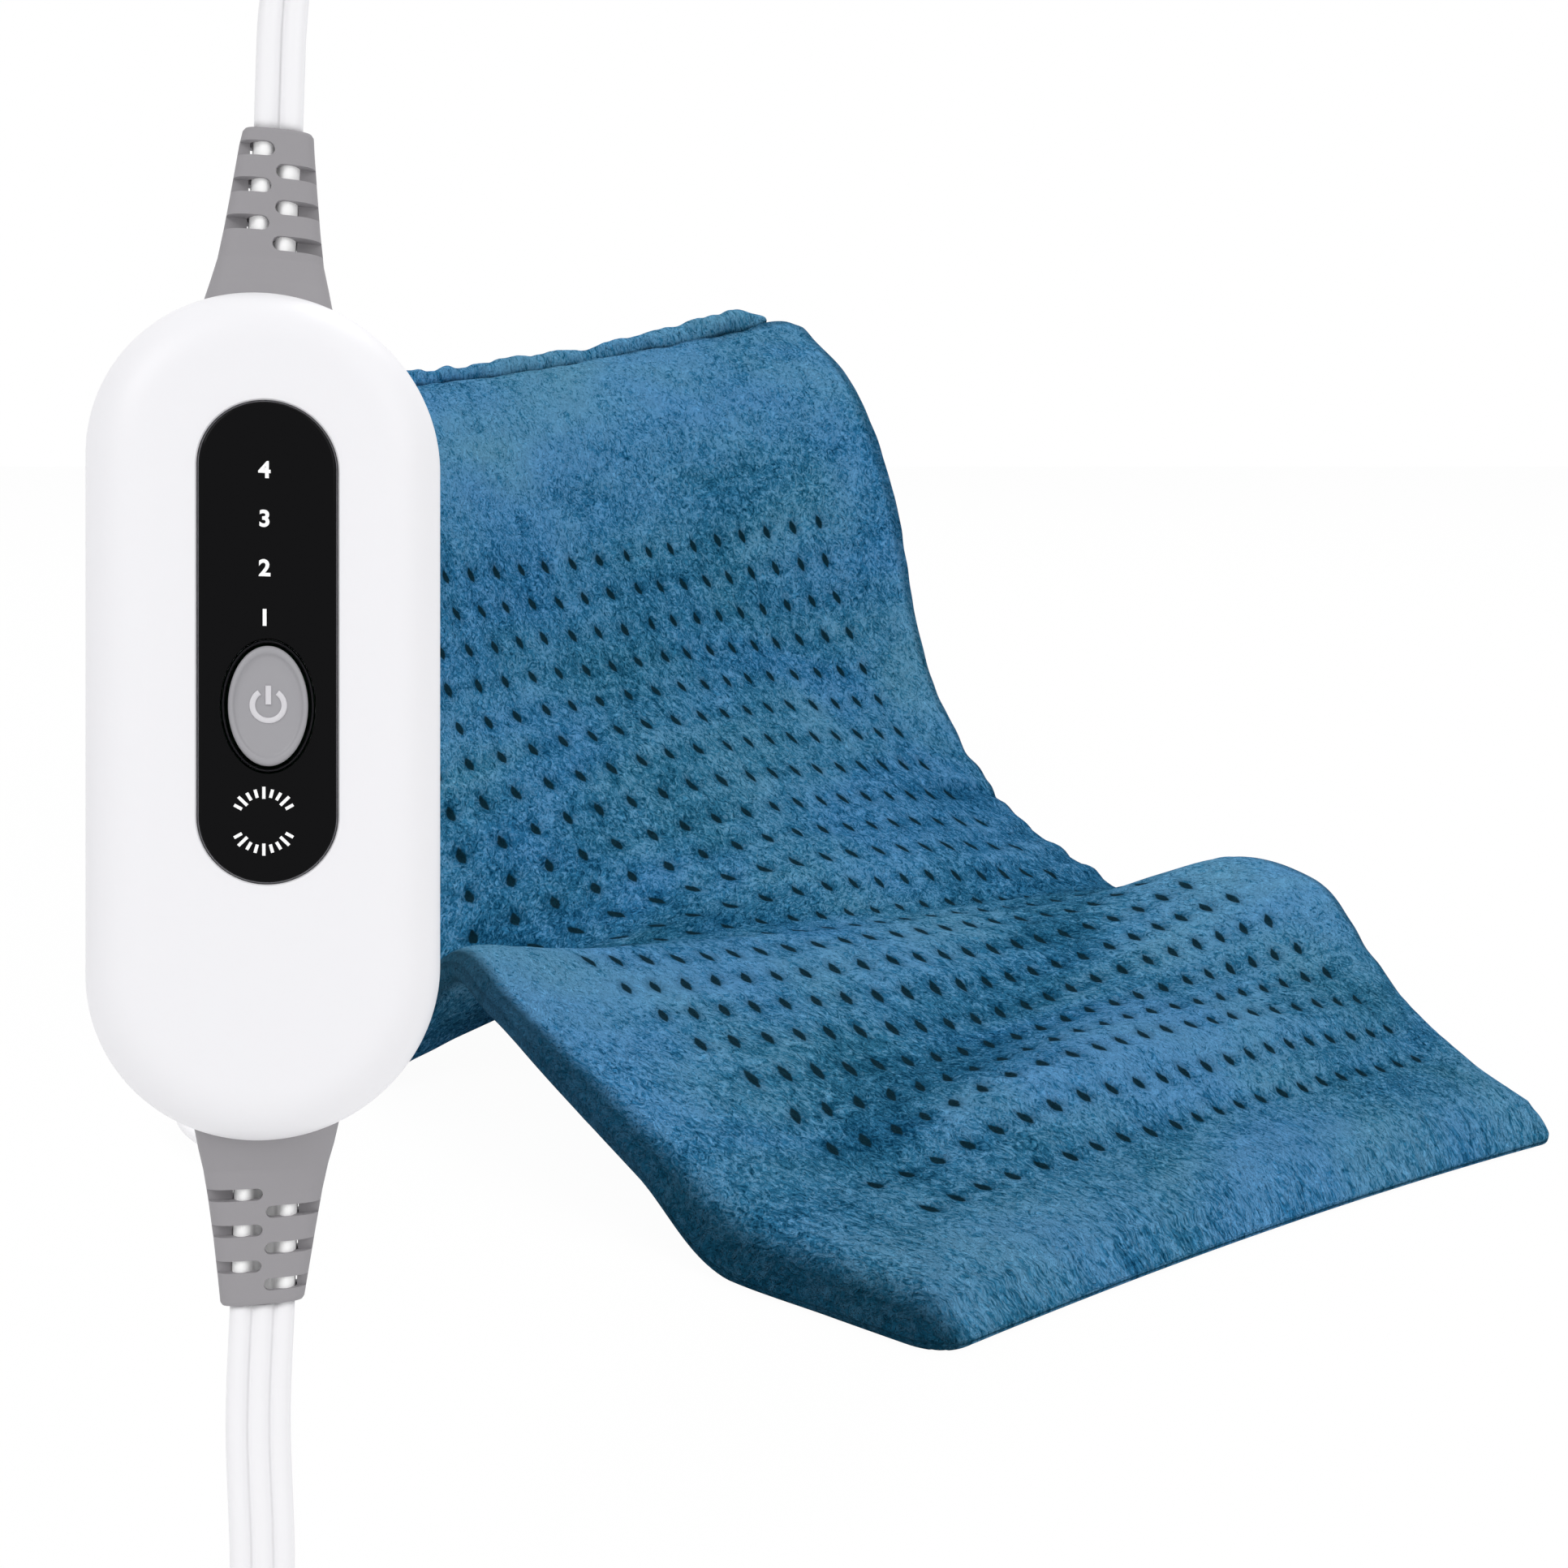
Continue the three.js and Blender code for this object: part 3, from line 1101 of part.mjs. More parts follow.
const padLeadPoints = [
  [-207.7, -209.4, 71.7], [-207.1, -213.9, 51.2], [-207.5, -217.4, 35.3], [-208.3, -217.3, 23.2],
  [-210.7, -212, 12.3], [-214, -202.5, 5.2], [-217.8, -190.6, 2.9], [-224, -170, 2.5], [-234.4, -135, 2.3],
  [-249.5, -85, 2.3], [-264.5, -35, 2.3], [-279, 14, 2.3], [-286.5, 25.5, 2.7], [-297.5, 36.5, 3.9],
  [-308.5, 47.5, 5.2], [-314, 59, 6.6], [-313.5, 71.5, 9.4],
];
const tipReach = grommetLength + seatGap;
const entryTip = entry.point.clone().addScaledVector(entryOut, tipReach);
const entryLead = entry.point.clone().addScaledVector(entryOut, tipReach + padLeadWidth);
const headingRight = vector([0.957, 0.29, 0]);
const bulgeOut = vector([0.7, 0.7, 0]);
const bulgeBack = vector([0.94, -0.3, -0.1]);
const padLeadRoute = new LeadRoute([lowerExit, ...padLeadPoints.map(vector), entryLead, entryTip], [
  [0, controllerAcross], [0.24, headingRight], [0.3, headingRight], [0.72, headingRight], [0.82, bulgeOut],
  [0.92, bulgeBack], [1, entryAlong],
]);
addPart('pad_lead', leadAlong(padLeadRoute, padLeadWidth, padLeadThickness, padLeadSteps), 'whiteVinyl');

export default part;
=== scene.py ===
"""A folded plush heating pad and its hanging hand controller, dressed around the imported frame."""
import logging
import math
from dataclasses import dataclass, field
from enum import Enum
from typing import Sequence

import bpy
import numpy as np
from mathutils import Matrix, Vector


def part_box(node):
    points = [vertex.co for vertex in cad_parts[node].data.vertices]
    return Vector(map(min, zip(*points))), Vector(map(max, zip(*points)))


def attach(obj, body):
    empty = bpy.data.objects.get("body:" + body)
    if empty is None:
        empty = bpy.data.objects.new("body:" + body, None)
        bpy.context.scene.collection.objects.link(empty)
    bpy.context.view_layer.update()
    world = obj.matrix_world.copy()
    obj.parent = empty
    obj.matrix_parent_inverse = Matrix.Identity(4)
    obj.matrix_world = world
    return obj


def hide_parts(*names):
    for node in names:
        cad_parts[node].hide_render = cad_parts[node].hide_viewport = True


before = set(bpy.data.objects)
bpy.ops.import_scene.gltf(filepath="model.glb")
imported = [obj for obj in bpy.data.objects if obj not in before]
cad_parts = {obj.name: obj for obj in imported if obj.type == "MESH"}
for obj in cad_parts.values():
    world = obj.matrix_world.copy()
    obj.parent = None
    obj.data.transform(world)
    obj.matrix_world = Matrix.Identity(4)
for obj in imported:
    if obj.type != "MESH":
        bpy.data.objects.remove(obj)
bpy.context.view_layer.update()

LOG = logging.getLogger("heating_pad")
Material = bpy.types.Material
Piece = bpy.types.Object
Socket = bpy.types.NodeSocket
Triple = tuple[float, float, float]
Array = np.ndarray
Number = Socket | float
Pair = tuple[float, float]
Ends = tuple[Pair, Pair]

MM = 0.001
PAD_LENGTH = 610 * MM
PAD_WIDTH = 305 * MM
PAD_HALF = 7 * MM
STITCH_COLUMNS = 22
STITCH_ROWS = 23


# Finishes


class Coat(Enum):
    """The kinds of surface that the object shows."""

    PLUSH = "plush"
    SHELL = "white_shell"
    GLOSS = "panel_gloss"
    BUTTON = "button_grey"
    TRIM = "dark_trim"
    RELIEF = "grey_relief"
    VINYL = "white_vinyl"
    SIGN = "sign_grey"
    EDGE = "panel_edge"
    PRINT = "white_print"
    TIE = "tie_fabric"


@dataclass(frozen=True)
class Finish:
    """How one surface looks under any light: its linear colour, roughness, cloth sheen and mirror part.

    Args:
        grain: bump height of the surface's fine grain, in metres.
        grain_size: grains in a metre.
    """

    colour: Triple
    roughness: float
    sheen: float = 0.0
    specular: float = 0.5
    grain: float = 0.0
    grain_size: float = 1000.0


FINISHES: dict[Coat, Finish] = {
    Coat.PLUSH: Finish((0.032, 0.196, 0.36), 0.95, sheen=0.02, specular=0.03),
    Coat.SHELL: Finish((0.85, 0.845, 0.87), 0.42, specular=0.3, grain=0.00002, grain_size=900),
    Coat.GLOSS: Finish((0.003, 0.003, 0.0035), 0.1, specular=0.06),
    Coat.BUTTON: Finish((0.335, 0.33, 0.35), 0.42, specular=0.3, grain=0.00001, grain_size=1500),
    Coat.TRIM: Finish((0.008, 0.008, 0.01), 0.2, specular=0.3),
    Coat.RELIEF: Finish((0.31, 0.30, 0.315), 0.6, specular=0.2, grain=0.00003, grain_size=1200),
    Coat.VINYL: Finish((0.88, 0.875, 0.895), 0.45, specular=0.3, grain=0.00001, grain_size=800),
    Coat.SIGN: Finish((0.64, 0.63, 0.66), 0.4, specular=0.4),
    # Painted highlight: a grey ring round the black panel stands in for its bevel's reflection.
    Coat.EDGE: Finish((0.22, 0.215, 0.24), 0.25, specular=0.6),
    Coat.PRINT: Finish((0.95, 0.95, 0.95), 0.6),
    Coat.TIE: Finish((0.02, 0.02, 0.022), 0.9, sheen=0.2),
}


@dataclass(frozen=True)
class PileLayer:
    """One noise in the pile: its weight is in the tone, and its relief the height of a bump in metres."""

    stretch: Triple
    scale: float
    detail: float
    distortion: float
    weight: float = 0.0
    relief: float = 0.0


@dataclass(frozen=True)
class PileLook:
    """The plush pile's colour. Its tone is 0 where it is plain, below 0 where dark and above 0 where light;
    the sheet's lift adds painted light on crests and painted shade in troughs and creases.

    Args:
        ramps: linear colours where the pile is dark, plain and light, in greenish, plain and bluish patches.
        layers: the noises that add up to the tone, from the broadest to the finest.
        rim_shade_span: where the painted shade round the rim starts and is full, as shares of the half
            thickness.
    """

    ramps: tuple[tuple[Triple, Triple, Triple], ...] = (
        ((0.000, 0.060, 0.128), (0.038, 0.226, 0.395), (0.150, 0.410, 0.64)),
        ((0.000, 0.058, 0.136), (0.034, 0.218, 0.416), (0.140, 0.400, 0.675)),
        ((0.000, 0.055, 0.146), (0.030, 0.208, 0.438), (0.130, 0.385, 0.71)),
    )
    layers: tuple[PileLayer, ...] = (
        PileLayer((1, 0.8, 0), 8, 2, 0.6, 0.65),
        PileLayer((1, 0.7, 0), 34, 4, 1.2, 0.85),
        PileLayer((1, 0.6, 0), 130, 4, 2.2, 1.25, 3 * MM),
        PileLayer((1, 0.6, 0), 360, 3, 2.6, 2.45, 3.2 * MM),
        PileLayer((1, 0.5, 0), 900, 3, 1.8, 1.1, 1 * MM),
    )
    patches: PileLayer = PileLayer((0.8, 1, 0), 12, 2, 0.5)
    greenish_at: float = 0.63
    bluish_at: float = 0.37
    start: float = 0.15
    # Painted light on crests and painted shade in troughs: the tone at a lift of 1 and of -1.
    crest: float = 0.33
    trough: float = 0.30
    dark_at: float = -0.54
    light_at: float = 0.4
    # Painted shade on the pad's rounded rim and sides.
    rim_shade_colour: Triple = (0.001, 0.034, 0.064)
    rim_shade_share: float = 0.85
    rim_shade_span: Pair = (0.8, 0.1)
    sheen_tint: Triple = (0.45, 0.72, 1.0)
    sheen_roughness: float = 0.4


@dataclass(frozen=True)
class SlitLook:
    """The stitch slits' shape and colour, a painted shade in each pit. Lengths are millimetres on the flat
    sheet.

    Args:
        pitch: from one slit to the next, across and along.
        lean: how far a slit leans across for each millimetre along, in the back rows.
        front_rows, last_rows: rows over which the slits turn to the front part's and the last rows' shape.
        ragged: how far the pile frays a slit's edge.
        edge, shade: depths where a slit's painted shade and the painted shadow round it start and are full,
            and how much shows.
        top_span: marks on the sheet between which slits start to show, so that they stay on top.
    """

    pitch: Pair = (11.0, 19.9)
    half_width: float = 1.3
    half_length: float = 4.0
    lean: float = 0.12
    front_rows: Pair = (11, 15)
    front_longer: float = 0.12
    front_wider: float = 0.2
    front_lean: float = 0.45
    last_rows: Pair = (19.6, 20.6)
    last_shorter: float = 0.4
    last_lean: float = 0.5
    ragged: float = 0.9
    edge: Triple = (-0.15, 0.3, 0.97)
    shade: Triple = (-2.6, 0.1, 0.42)
    top_span: Pair = (0.9, 0.97)
    # The painted shade inside a stitch pit.
    colour: Triple = (0.002, 0.024, 0.038)


class NodePen:
    """Writes shader nodes into a tree. Inputs are sockets or plain values."""

    def __init__(self, tree: bpy.types.NodeTree) -> None:
        """Keeps the tree's nodes and links."""
        self.nodes, self.links = tree.nodes, tree.links

    def feed(self, socket: Socket, value: Number | tuple) -> None:
        """Links a socket to another node's output, or sets it.

        Args:
            socket, value: the input, and an output, a number or a colour for it.
        """
        if isinstance(value, Socket):
            self.links.new(value, socket)
        elif isinstance(value, tuple) and socket.type == "RGBA":
            socket.default_value = (*value, 1)
        else:
            socket.default_value = value

    def attribute(self, name: str) -> Socket:
        """A vector stored on the mesh."""
        made = self.nodes.new("ShaderNodeAttribute")
        made.attribute_name = name
        return made.outputs["Vector"]

    def part(self, vector: Socket, axis: int) -> Socket:
        """One of a vector's three numbers."""
        made = self.nodes.new("ShaderNodeSeparateXYZ")
        self.links.new(vector, made.inputs[0])
        return made.outputs[axis]

    def scale(self, vector: Socket, by: Triple) -> Socket:
        """A vector stretched on each axis."""
        made = self.nodes.new("ShaderNodeVectorMath")
        made.operation = "MULTIPLY"
        self.links.new(vector, made.inputs[0])
        made.inputs[1].default_value = by
        return made.outputs[0]

    def noise(
        self, vector: Socket, scale: float, detail: float, distortion: float = 0.0, roughness: float = 0.5,
    ) -> Socket:
        """Fractal noise from 0 to 1.

        Args:
            vector, scale: where it is taken, and waves in a unit of that.
            detail, distortion, roughness: of the noise node.
        Returns:
            Its value.
        """
        made = self.nodes.new("ShaderNodeTexNoise")
        for name, value in (
            ("Scale", scale), ("Detail", detail), ("Roughness", roughness), ("Distortion", distortion),
        ):
            made.inputs[name].default_value = value
        self.links.new(vector, made.inputs["Vector"])
        return made.outputs["Fac"]

    def math(self, operation: str, first: Number, second: Number | None = None) -> Socket:
        """One sum of one or two numbers.

        Args:
            operation, first, second: the math node's own word for it, and the numbers.
        Returns:
            The result.
        """
        made = self.nodes.new("ShaderNodeMath")
        made.operation = operation
        self.feed(made.inputs[0], first)
        if second is not None:
            self.feed(made.inputs[1], second)
        return made.outputs[0]

    def plus(self, first: Number, second: Number) -> Socket:
        """The sum of two numbers."""
        return self.math("ADD", first, second)

    def minus(self, first: Number, second: Number) -> Socket:
        """The first number less the second."""
        return self.math("SUBTRACT", first, second)

    def times(self, first: Number, second: Number) -> Socket:
        """The product of two numbers."""
        return self.math("MULTIPLY", first, second)

    def span(self, source: Socket, low: float, high: float, top: float = 1.0) -> Socket:
        """0 at low, rising evenly to top at high.

        Args:
            source, low, high: the number, and where its rise starts and ends. High may be the lesser.
            top: the value from high on.
        Returns:
            The risen value.
        """
        made = self.nodes.new("ShaderNodeMapRange")
        for name, value in (("From Min", low), ("From Max", high), ("To Max", top)):
            made.inputs[name].default_value = value
        self.links.new(source, made.inputs["Value"])
        return made.outputs["Result"]

    def mix(self, amount: Socket, low: Socket | Triple, high: Socket | Triple) -> Socket:
        """A colour between two.

        Args:
            amount, low, high: 0 for the low colour to 1 for the high one, and the colours.
        Returns:
            The mixed colour.
        """
        made = self.nodes.new("ShaderNodeMix")
        made.data_type = "RGBA"
        self.feed(made.inputs["Factor"], amount)
        for name, value in (("A", low), ("B", high)):
            self.feed(next(s for s in made.inputs if s.name == name and s.type == "RGBA"), value)
        return next(s for s in made.outputs if s.type == "RGBA")

    def bump(
        self, height: Socket, distance: float, normal: Socket | None = None, strength: float = 1.0,
    ) -> Socket:
        """A bumped normal.

        Args:
            height, distance: the relief, from 0 to 1, and how high 1 is, in metres.
            normal, strength: another bump under this one, and how strong this one is.
        Returns:
            The normal.
        """
        made = self.nodes.new("ShaderNodeBump")
        made.inputs["Strength"].default_value = strength
        made.inputs["Distance"].default_value = distance
        self.links.new(height, made.inputs["Height"])
        if normal is not None:
            self.links.new(normal, made.inputs["Normal"])
        return made.outputs["Normal"]

    def seen(self) -> Socket:
        """1 for what the camera sees, also in a mirror or through glass, and 0 for other light."""
        rays = self.nodes.new("ShaderNodeLightPath")
        seen = rays.outputs["Is Camera Ray"]
        for other in ("Is Glossy Ray", "Is Transmission Ray"):
            seen = self.math("MAXIMUM", seen, rays.outputs[other])
        return seen


@dataclass
class Painter:
    """Makes each material once and hands it out by its coat."""

    pile: PileLook = field(default_factory=PileLook)
    slit: SlitLook = field(default_factory=SlitLook)
    pile_roughness: float = 0.6
    grain_detail: float = 3.0
    grain_strength: float = 0.6
    made: dict[Coat, Material] = field(default_factory=dict)

    def get(self, coat: Coat) -> Material:
        """The material of a coat, made on first use."""
        if coat not in self.made:
            maker = self.plush if coat is Coat.PLUSH else self.plain
            self.made[coat] = maker(coat, FINISHES[coat])
        return self.made[coat]

    @staticmethod
    def base(coat: Coat, finish: Finish) -> tuple[Material, bpy.types.Node, NodePen]:
        """Makes a material with its principled shader set from the finish.

        Args:
            coat, finish: names the material, and its values.
        Returns:
            The material, its shader node and a pen for its tree.
        """
        material = bpy.data.materials.new(coat.value)
        material.use_nodes = True
        shader = material.node_tree.nodes["Principled BSDF"]
        shader.inputs["Base Color"].default_value = (*finish.colour, 1)
        shader.inputs["Roughness"].default_value = finish.roughness
        shader.inputs["Sheen Weight"].default_value = finish.sheen
        shader.inputs["Specular IOR Level"].default_value = finish.specular
        return material, shader, NodePen(material.node_tree)

    def plain(self, coat: Coat, finish: Finish) -> Material:
        """A one-colour surface with a little grain in its bump.

        Args:
            coat, finish: names the material, and its values.
        Returns:
            The material.
        """
        material, shader, pen = self.base(coat, finish)
        if finish.grain > 0:
            spot = pen.nodes.new("ShaderNodeTexCoord").outputs["Object"]
            grain = pen.noise(spot, finish.grain_size, self.grain_detail)
            normal = pen.bump(grain, finish.grain, strength=self.grain_strength)
            pen.links.new(normal, shader.inputs["Normal"])
        return material

    def plush(self, coat: Coat, finish: Finish) -> Material:
        """Short brushed pile with slit stitches, with painted shade in the troughs, the stitch pits and round
        the rim, and painted light on the crests.

        The attribute "sheet" holds the place on the flat pad in metres and its lift, how far a spot lies
        above its surroundings, painted light above 0 and painted shade below it. The attribute "lattice"
        holds the stitch lattice's numbers across and along, and how much of the pile shows through the
        painted rim shade, below 0 on the lower side.

        Args:
            coat, finish: names the material, and its values.
        Returns:
            The material.
        """
        material, shader, pen = self.base(coat, finish)
        look, slit = self.pile, self.slit
        sheet, lattice = pen.attribute("sheet"), pen.attribute("lattice")
        colour, finest, normal = self.pile_colour(pen, sheet)
        top = pen.part(lattice, 2)
        # Painted shade round the rim and in the hem's fold.
        rim = pen.span(pen.math("ABSOLUTE", top), *look.rim_shade_span, look.rim_shade_share)
        colour = pen.mix(rim, colour, look.rim_shade_colour)
        # Painted shade in each stitch pit and a painted shadow round it, where the pile is unshaded on the
        # upper side.
        depth = self.slit_depth(pen, lattice, finest)
        on_top = pen.span(top, *slit.top_span)
        pit_shadow_colour = look.ramps[1][0]
        for span, shade in ((slit.shade, pit_shadow_colour), (slit.edge, slit.colour)):
            colour = pen.mix(pen.times(pen.span(depth, *span), on_top), colour, shade)
        pen.links.new(colour, shader.inputs["Base Color"])
        pen.links.new(normal, shader.inputs["Normal"])
        shader.inputs["Sheen Roughness"].default_value = look.sheen_roughness
        shader.inputs["Sheen Tint"].default_value = (*look.sheen_tint, 1)
        return material

    def pile_colour(self, pen: NodePen, sheet: Socket) -> tuple[Socket, Socket, Socket]:
        """The pile's colour and relief: tone = start + the sum of weight (noise - 0.5) + crest or - trough,
        which are the painted light and shade from the sheet's lift.

        Args:
            pen: writes the nodes.
            sheet: the attribute of that name.
        Returns:
            The colour, the finest noise and the bumped normal.
        """
        look = self.pile

        def noise(layer: PileLayer) -> Socket:
            """A layer's noise over the sheet."""
            spot = pen.scale(sheet, layer.stretch)
            return pen.noise(spot, layer.scale, layer.detail, layer.distortion, self.pile_roughness)

        tone, normal, value = look.start, None, None
        for layer in look.layers:
            value = noise(layer)
            tone = pen.plus(tone, pen.times(pen.minus(value, 0.5), layer.weight))
            if layer.relief > 0:
                normal = pen.bump(value, layer.relief, normal)
        # Painted light and shade from the sheet's lift: lighter on crests, darker in troughs and creases.
        lift = pen.part(sheet, 2)
        tone = pen.plus(tone, pen.span(lift, 0, 1, look.crest))
        tone = pen.minus(tone, pen.span(lift, 0, -1, look.trough))
        darker, lighter = pen.span(tone, 0, look.dark_at), pen.span(tone, 0, look.light_at)
        greenish, plain, bluish = (
            pen.mix(lighter, pen.mix(darker, middle, low), high) for low, middle, high in look.ramps
        )
        patches = noise(look.patches)
        colour = pen.mix(pen.span(patches, 0.5, look.greenish_at), plain, greenish)
        return pen.mix(pen.span(patches, 0.5, look.bluish_at), colour, bluish), value, normal

    def slit_depth(self, pen: NodePen, lattice: Socket, finest: Socket) -> Socket:
        """How far inside the nearest slit a spot lies, in millimetres.

        With x and y from the slit's middle, it is half_width (1 - (y / half_length)^2) - |x + lean y|, frayed
        by ragged (noise - 0.5). Towards the front y is shortened, so that the slits are longer, and x too.

        Args:
            pen: writes the nodes.
            lattice: the attribute of that name.
            finest: the pile's finest noise.
        Returns:
            The depth, below 0 outside.
        """
        slit = self.slit
        off = []
        for axis, count in enumerate((STITCH_COLUMNS, STITCH_ROWS)):
            number = pen.part(lattice, axis)
            nearest = pen.math("MAXIMUM", pen.math("ROUND", number), 0)
            nearest = pen.math("MINIMUM", nearest, count - 1)
            off.append(pen.times(pen.minus(number, nearest), slit.pitch[axis]))
        row = pen.part(lattice, 1)
        longer = pen.minus(1, pen.span(row, *slit.front_rows, slit.front_longer))
        longer = pen.plus(longer, pen.span(row, *slit.last_rows, slit.last_shorter))
        wider = pen.minus(1, pen.span(row, *slit.front_rows, slit.front_wider))
        lean = pen.minus(slit.lean, pen.span(row, *slit.front_rows, slit.front_lean))
        lean = pen.plus(lean, pen.span(row, *slit.last_rows, slit.last_lean))
        y = pen.times(off[1], longer)
        x = pen.math("ABSOLUTE", pen.times(pen.plus(off[0], pen.times(y, lean)), wider))
        along = pen.math("DIVIDE", y, slit.half_length)
        half = pen.times(pen.minus(1, pen.times(along, along)), slit.half_width)
        return pen.plus(pen.minus(half, x), pen.times(pen.minus(finest, 0.5), slit.ragged))


PAINT = Painter()


# Meshes from grids of points


def grid_faces(rows: int, columns: int, wrap_rows: bool, wrap_columns: bool) -> Array:
    """Quads over a grid of points numbered row by row.

    Args:
        rows, columns: rings of points, and points in a ring.
        wrap_rows, wrap_columns: the last ring joins the first, and each ring closes on itself.
    Returns:
        Four point numbers for each quad.
    """
    i = np.arange(rows if wrap_rows else rows - 1)
    j = np.arange(columns if wrap_columns else columns - 1)
    i, j = np.meshgrid(i, j, indexing="ij")
    i2, j2 = (i + 1) % rows, (j + 1) % columns
    corners = (i * columns + j, i * columns + j2, i2 * columns + j2, i2 * columns + j)
    return np.stack(corners, -1).reshape(-1, 4)


def add_mesh(
    name: str, points: Array, faces: Array, coat: Coat, caps: Sequence[Array] = (),
    sharp: float = 180.0,
) -> Piece:
    """Makes an object at the origin from points in the row frame, in metres.

    Args:
        name, points, faces: its name, one row for each vertex, and quads.
        coat: its finish.
        caps: rings of point numbers closed by one face each.
        sharp: edges sharper than this, in degrees, stay crisp.
    Returns:
        The object, linked and shaded smooth.
    """
    sizes = np.concatenate([np.full(len(faces), 4), [len(cap) for cap in caps]]).astype(np.int32)
    loops = np.concatenate([np.asarray(faces).ravel(), *[np.asarray(cap) for cap in caps]]).astype(np.int32)
    mesh = bpy.data.meshes.new(name)
    mesh.vertices.add(len(points))
    mesh.vertices.foreach_set("co", np.asarray(points, np.float32).ravel())
    mesh.loops.add(len(loops))
    mesh.loops.foreach_set("vertex_index", loops)
    mesh.polygons.add(len(sizes))
    starts = np.concatenate([[0], np.cumsum(sizes)[:-1]]).astype(np.int32)
    mesh.polygons.foreach_set("loop_start", starts)
    mesh.update(calc_edges=True)
    mesh.validate()
    mesh.shade_smooth()
    if sharp < 180:
        mesh.set_sharp_from_angle(angle=math.radians(sharp))
    made = bpy.data.objects.new(name, mesh)
    made.data.materials.append(PAINT.get(coat))
    bpy.context.scene.collection.objects.link(made)
    return made


def face_outward(made: Piece) -> Piece:
    """Turns a closed mesh's faces outward if its signed volume is negative, and returns the object."""
    mesh = made.data
    mesh.calc_loop_triangles()
    co = np.empty(len(mesh.vertices) * 3)
    mesh.vertices.foreach_get("co", co)
    tri = np.empty(len(mesh.loop_triangles) * 3, np.int32)
    mesh.loop_triangles.foreach_get("vertices", tri)
    corner = co.reshape(-1, 3)[tri.reshape(-1, 3)]
    if np.einsum("ij,ij->i", corner[:, 0], np.cross(corner[:, 1], corner[:, 2])).sum() < 0:
        mesh.flip_normals()
    return made


def rings_mesh(name: str, rings: Array, coat: Coat, wrap: bool = False, sharp: float = 180.0) -> Piece:
    """Joins closed rings of equal count, in order, into one closed surface that faces outward.

    Args:
        name, rings, coat: its name, points by ring, in metres, and its finish.
        wrap: the last ring joins the first. Otherwise a cap closes each end.
        sharp: edges sharper than this, in degrees, stay crisp.
    Returns:
        The object.
    """
    rows, columns = rings.shape[:2]
    faces = grid_faces(rows, columns, wrap, True)
    caps = [] if wrap else [np.arange(columns)[::-1], (rows - 1) * columns + np.arange(columns)]
    return face_outward(add_mesh(name, rings.reshape(-1, 3), faces, coat, caps, sharp))


def settled_mesh(made: Piece) -> bpy.types.Mesh:
    """A new mesh of an object as its modifiers or its text leave it."""
    bpy.context.view_layer.update()
    return bpy.data.meshes.new_from_object(made.evaluated_get(bpy.context.evaluated_depsgraph_get()))


def settle(made: Piece, *nodes: str, slot: str = "", body: str = "root") -> Piece:
    """Rides a piece on its body, stands it in for frame nodes and reports it.

    Args:
        made, nodes: the piece, and the frame nodes that it replaces.
        slot, body: the name of its material slot, which is not used, and what it rides on.
    Returns:
        The piece.
    """
    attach(made, body)
    if nodes:
        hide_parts(*nodes)
    LOG.info("%s rides on %s and has %d points", made.name, body, len(made.data.vertices))
    return made


def mark(made: Piece, name: str, *numbers: Array) -> None:
    """Stores a vector on each point of a mesh.

    Args:
        made, name, numbers: the piece, the attribute's name and three arrays over the points.
    """
    values = np.stack([np.ravel(number) for number in numbers], -1)
    attribute = made.data.attributes.new(name, "FLOAT_VECTOR", "POINT")
    attribute.data.foreach_set("vector", values.astype(np.float32).ravel())


# Formulas that several pieces share


def catmull_rom(points: Array, share: Array, per_segment: int = 48) -> Array:
    """Points at shares of the arc length of a centripetal Catmull-Rom curve.

    Each segment is the cubic c0 + c1 t + c2 t^2 + c3 t^3 through its two middle points.

    Args:
        points, share: what the curve goes through, and shares from 0 at its start to 1 at its end.
        per_segment: steps along each segment when its length is measured.
    Returns:
        One point for each share.
    """
    p = np.vstack([2 * points[0] - points[1], points, 2 * points[-1] - points[-2]])
    step = np.linalg.norm(np.diff(p, axis=0), axis=1)[:, None] ** 0.5
    p0, p1, p2, p3 = p[:-3], p[1:-2], p[2:-1], p[3:]
    d0, d1, d2 = step[:-2], step[1:-1], step[2:]
    t1 = ((p1 - p0) / d0 - (p2 - p0) / (d0 + d1) + (p2 - p1) / d1) * d1
    t2 = ((p2 - p1) / d1 - (p3 - p1) / (d1 + d2) + (p3 - p2) / d2) * d1
    t = np.linspace(0, 1, per_segment, endpoint=False)[None, :, None]
    c0, c1, c2, c3 = (c[:, None] for c in (p1, t1, -3 * p1 + 3 * p2 - 2 * t1 - t2, 2 * p1 - 2 * p2 + t1 + t2))
    dense = (c0 + c1 * t + c2 * t**2 + c3 * t**3).reshape(-1, points.shape[1])
    dense = np.vstack([dense, points[-1]])
    along = run_length(dense)
    along /= along[-1]
    return np.stack([np.interp(share, along, dense[:, k]) for k in range(points.shape[1])], -1)


def run_length(path: Array) -> Array:
    """The length of a line of points up to each of them."""
    return np.concatenate([[0], np.cumsum(np.linalg.norm(np.diff(path, axis=0), axis=1))])


def unit(v: Array) -> Array:
    """Vectors scaled to length 1."""
    return v / np.maximum(np.linalg.norm(v, axis=-1, keepdims=True), 1e-12)


def turn_round(count: int) -> Array:
    """Angles once round, evenly spread."""
    return np.linspace(0, 2 * math.pi, count, endpoint=False)


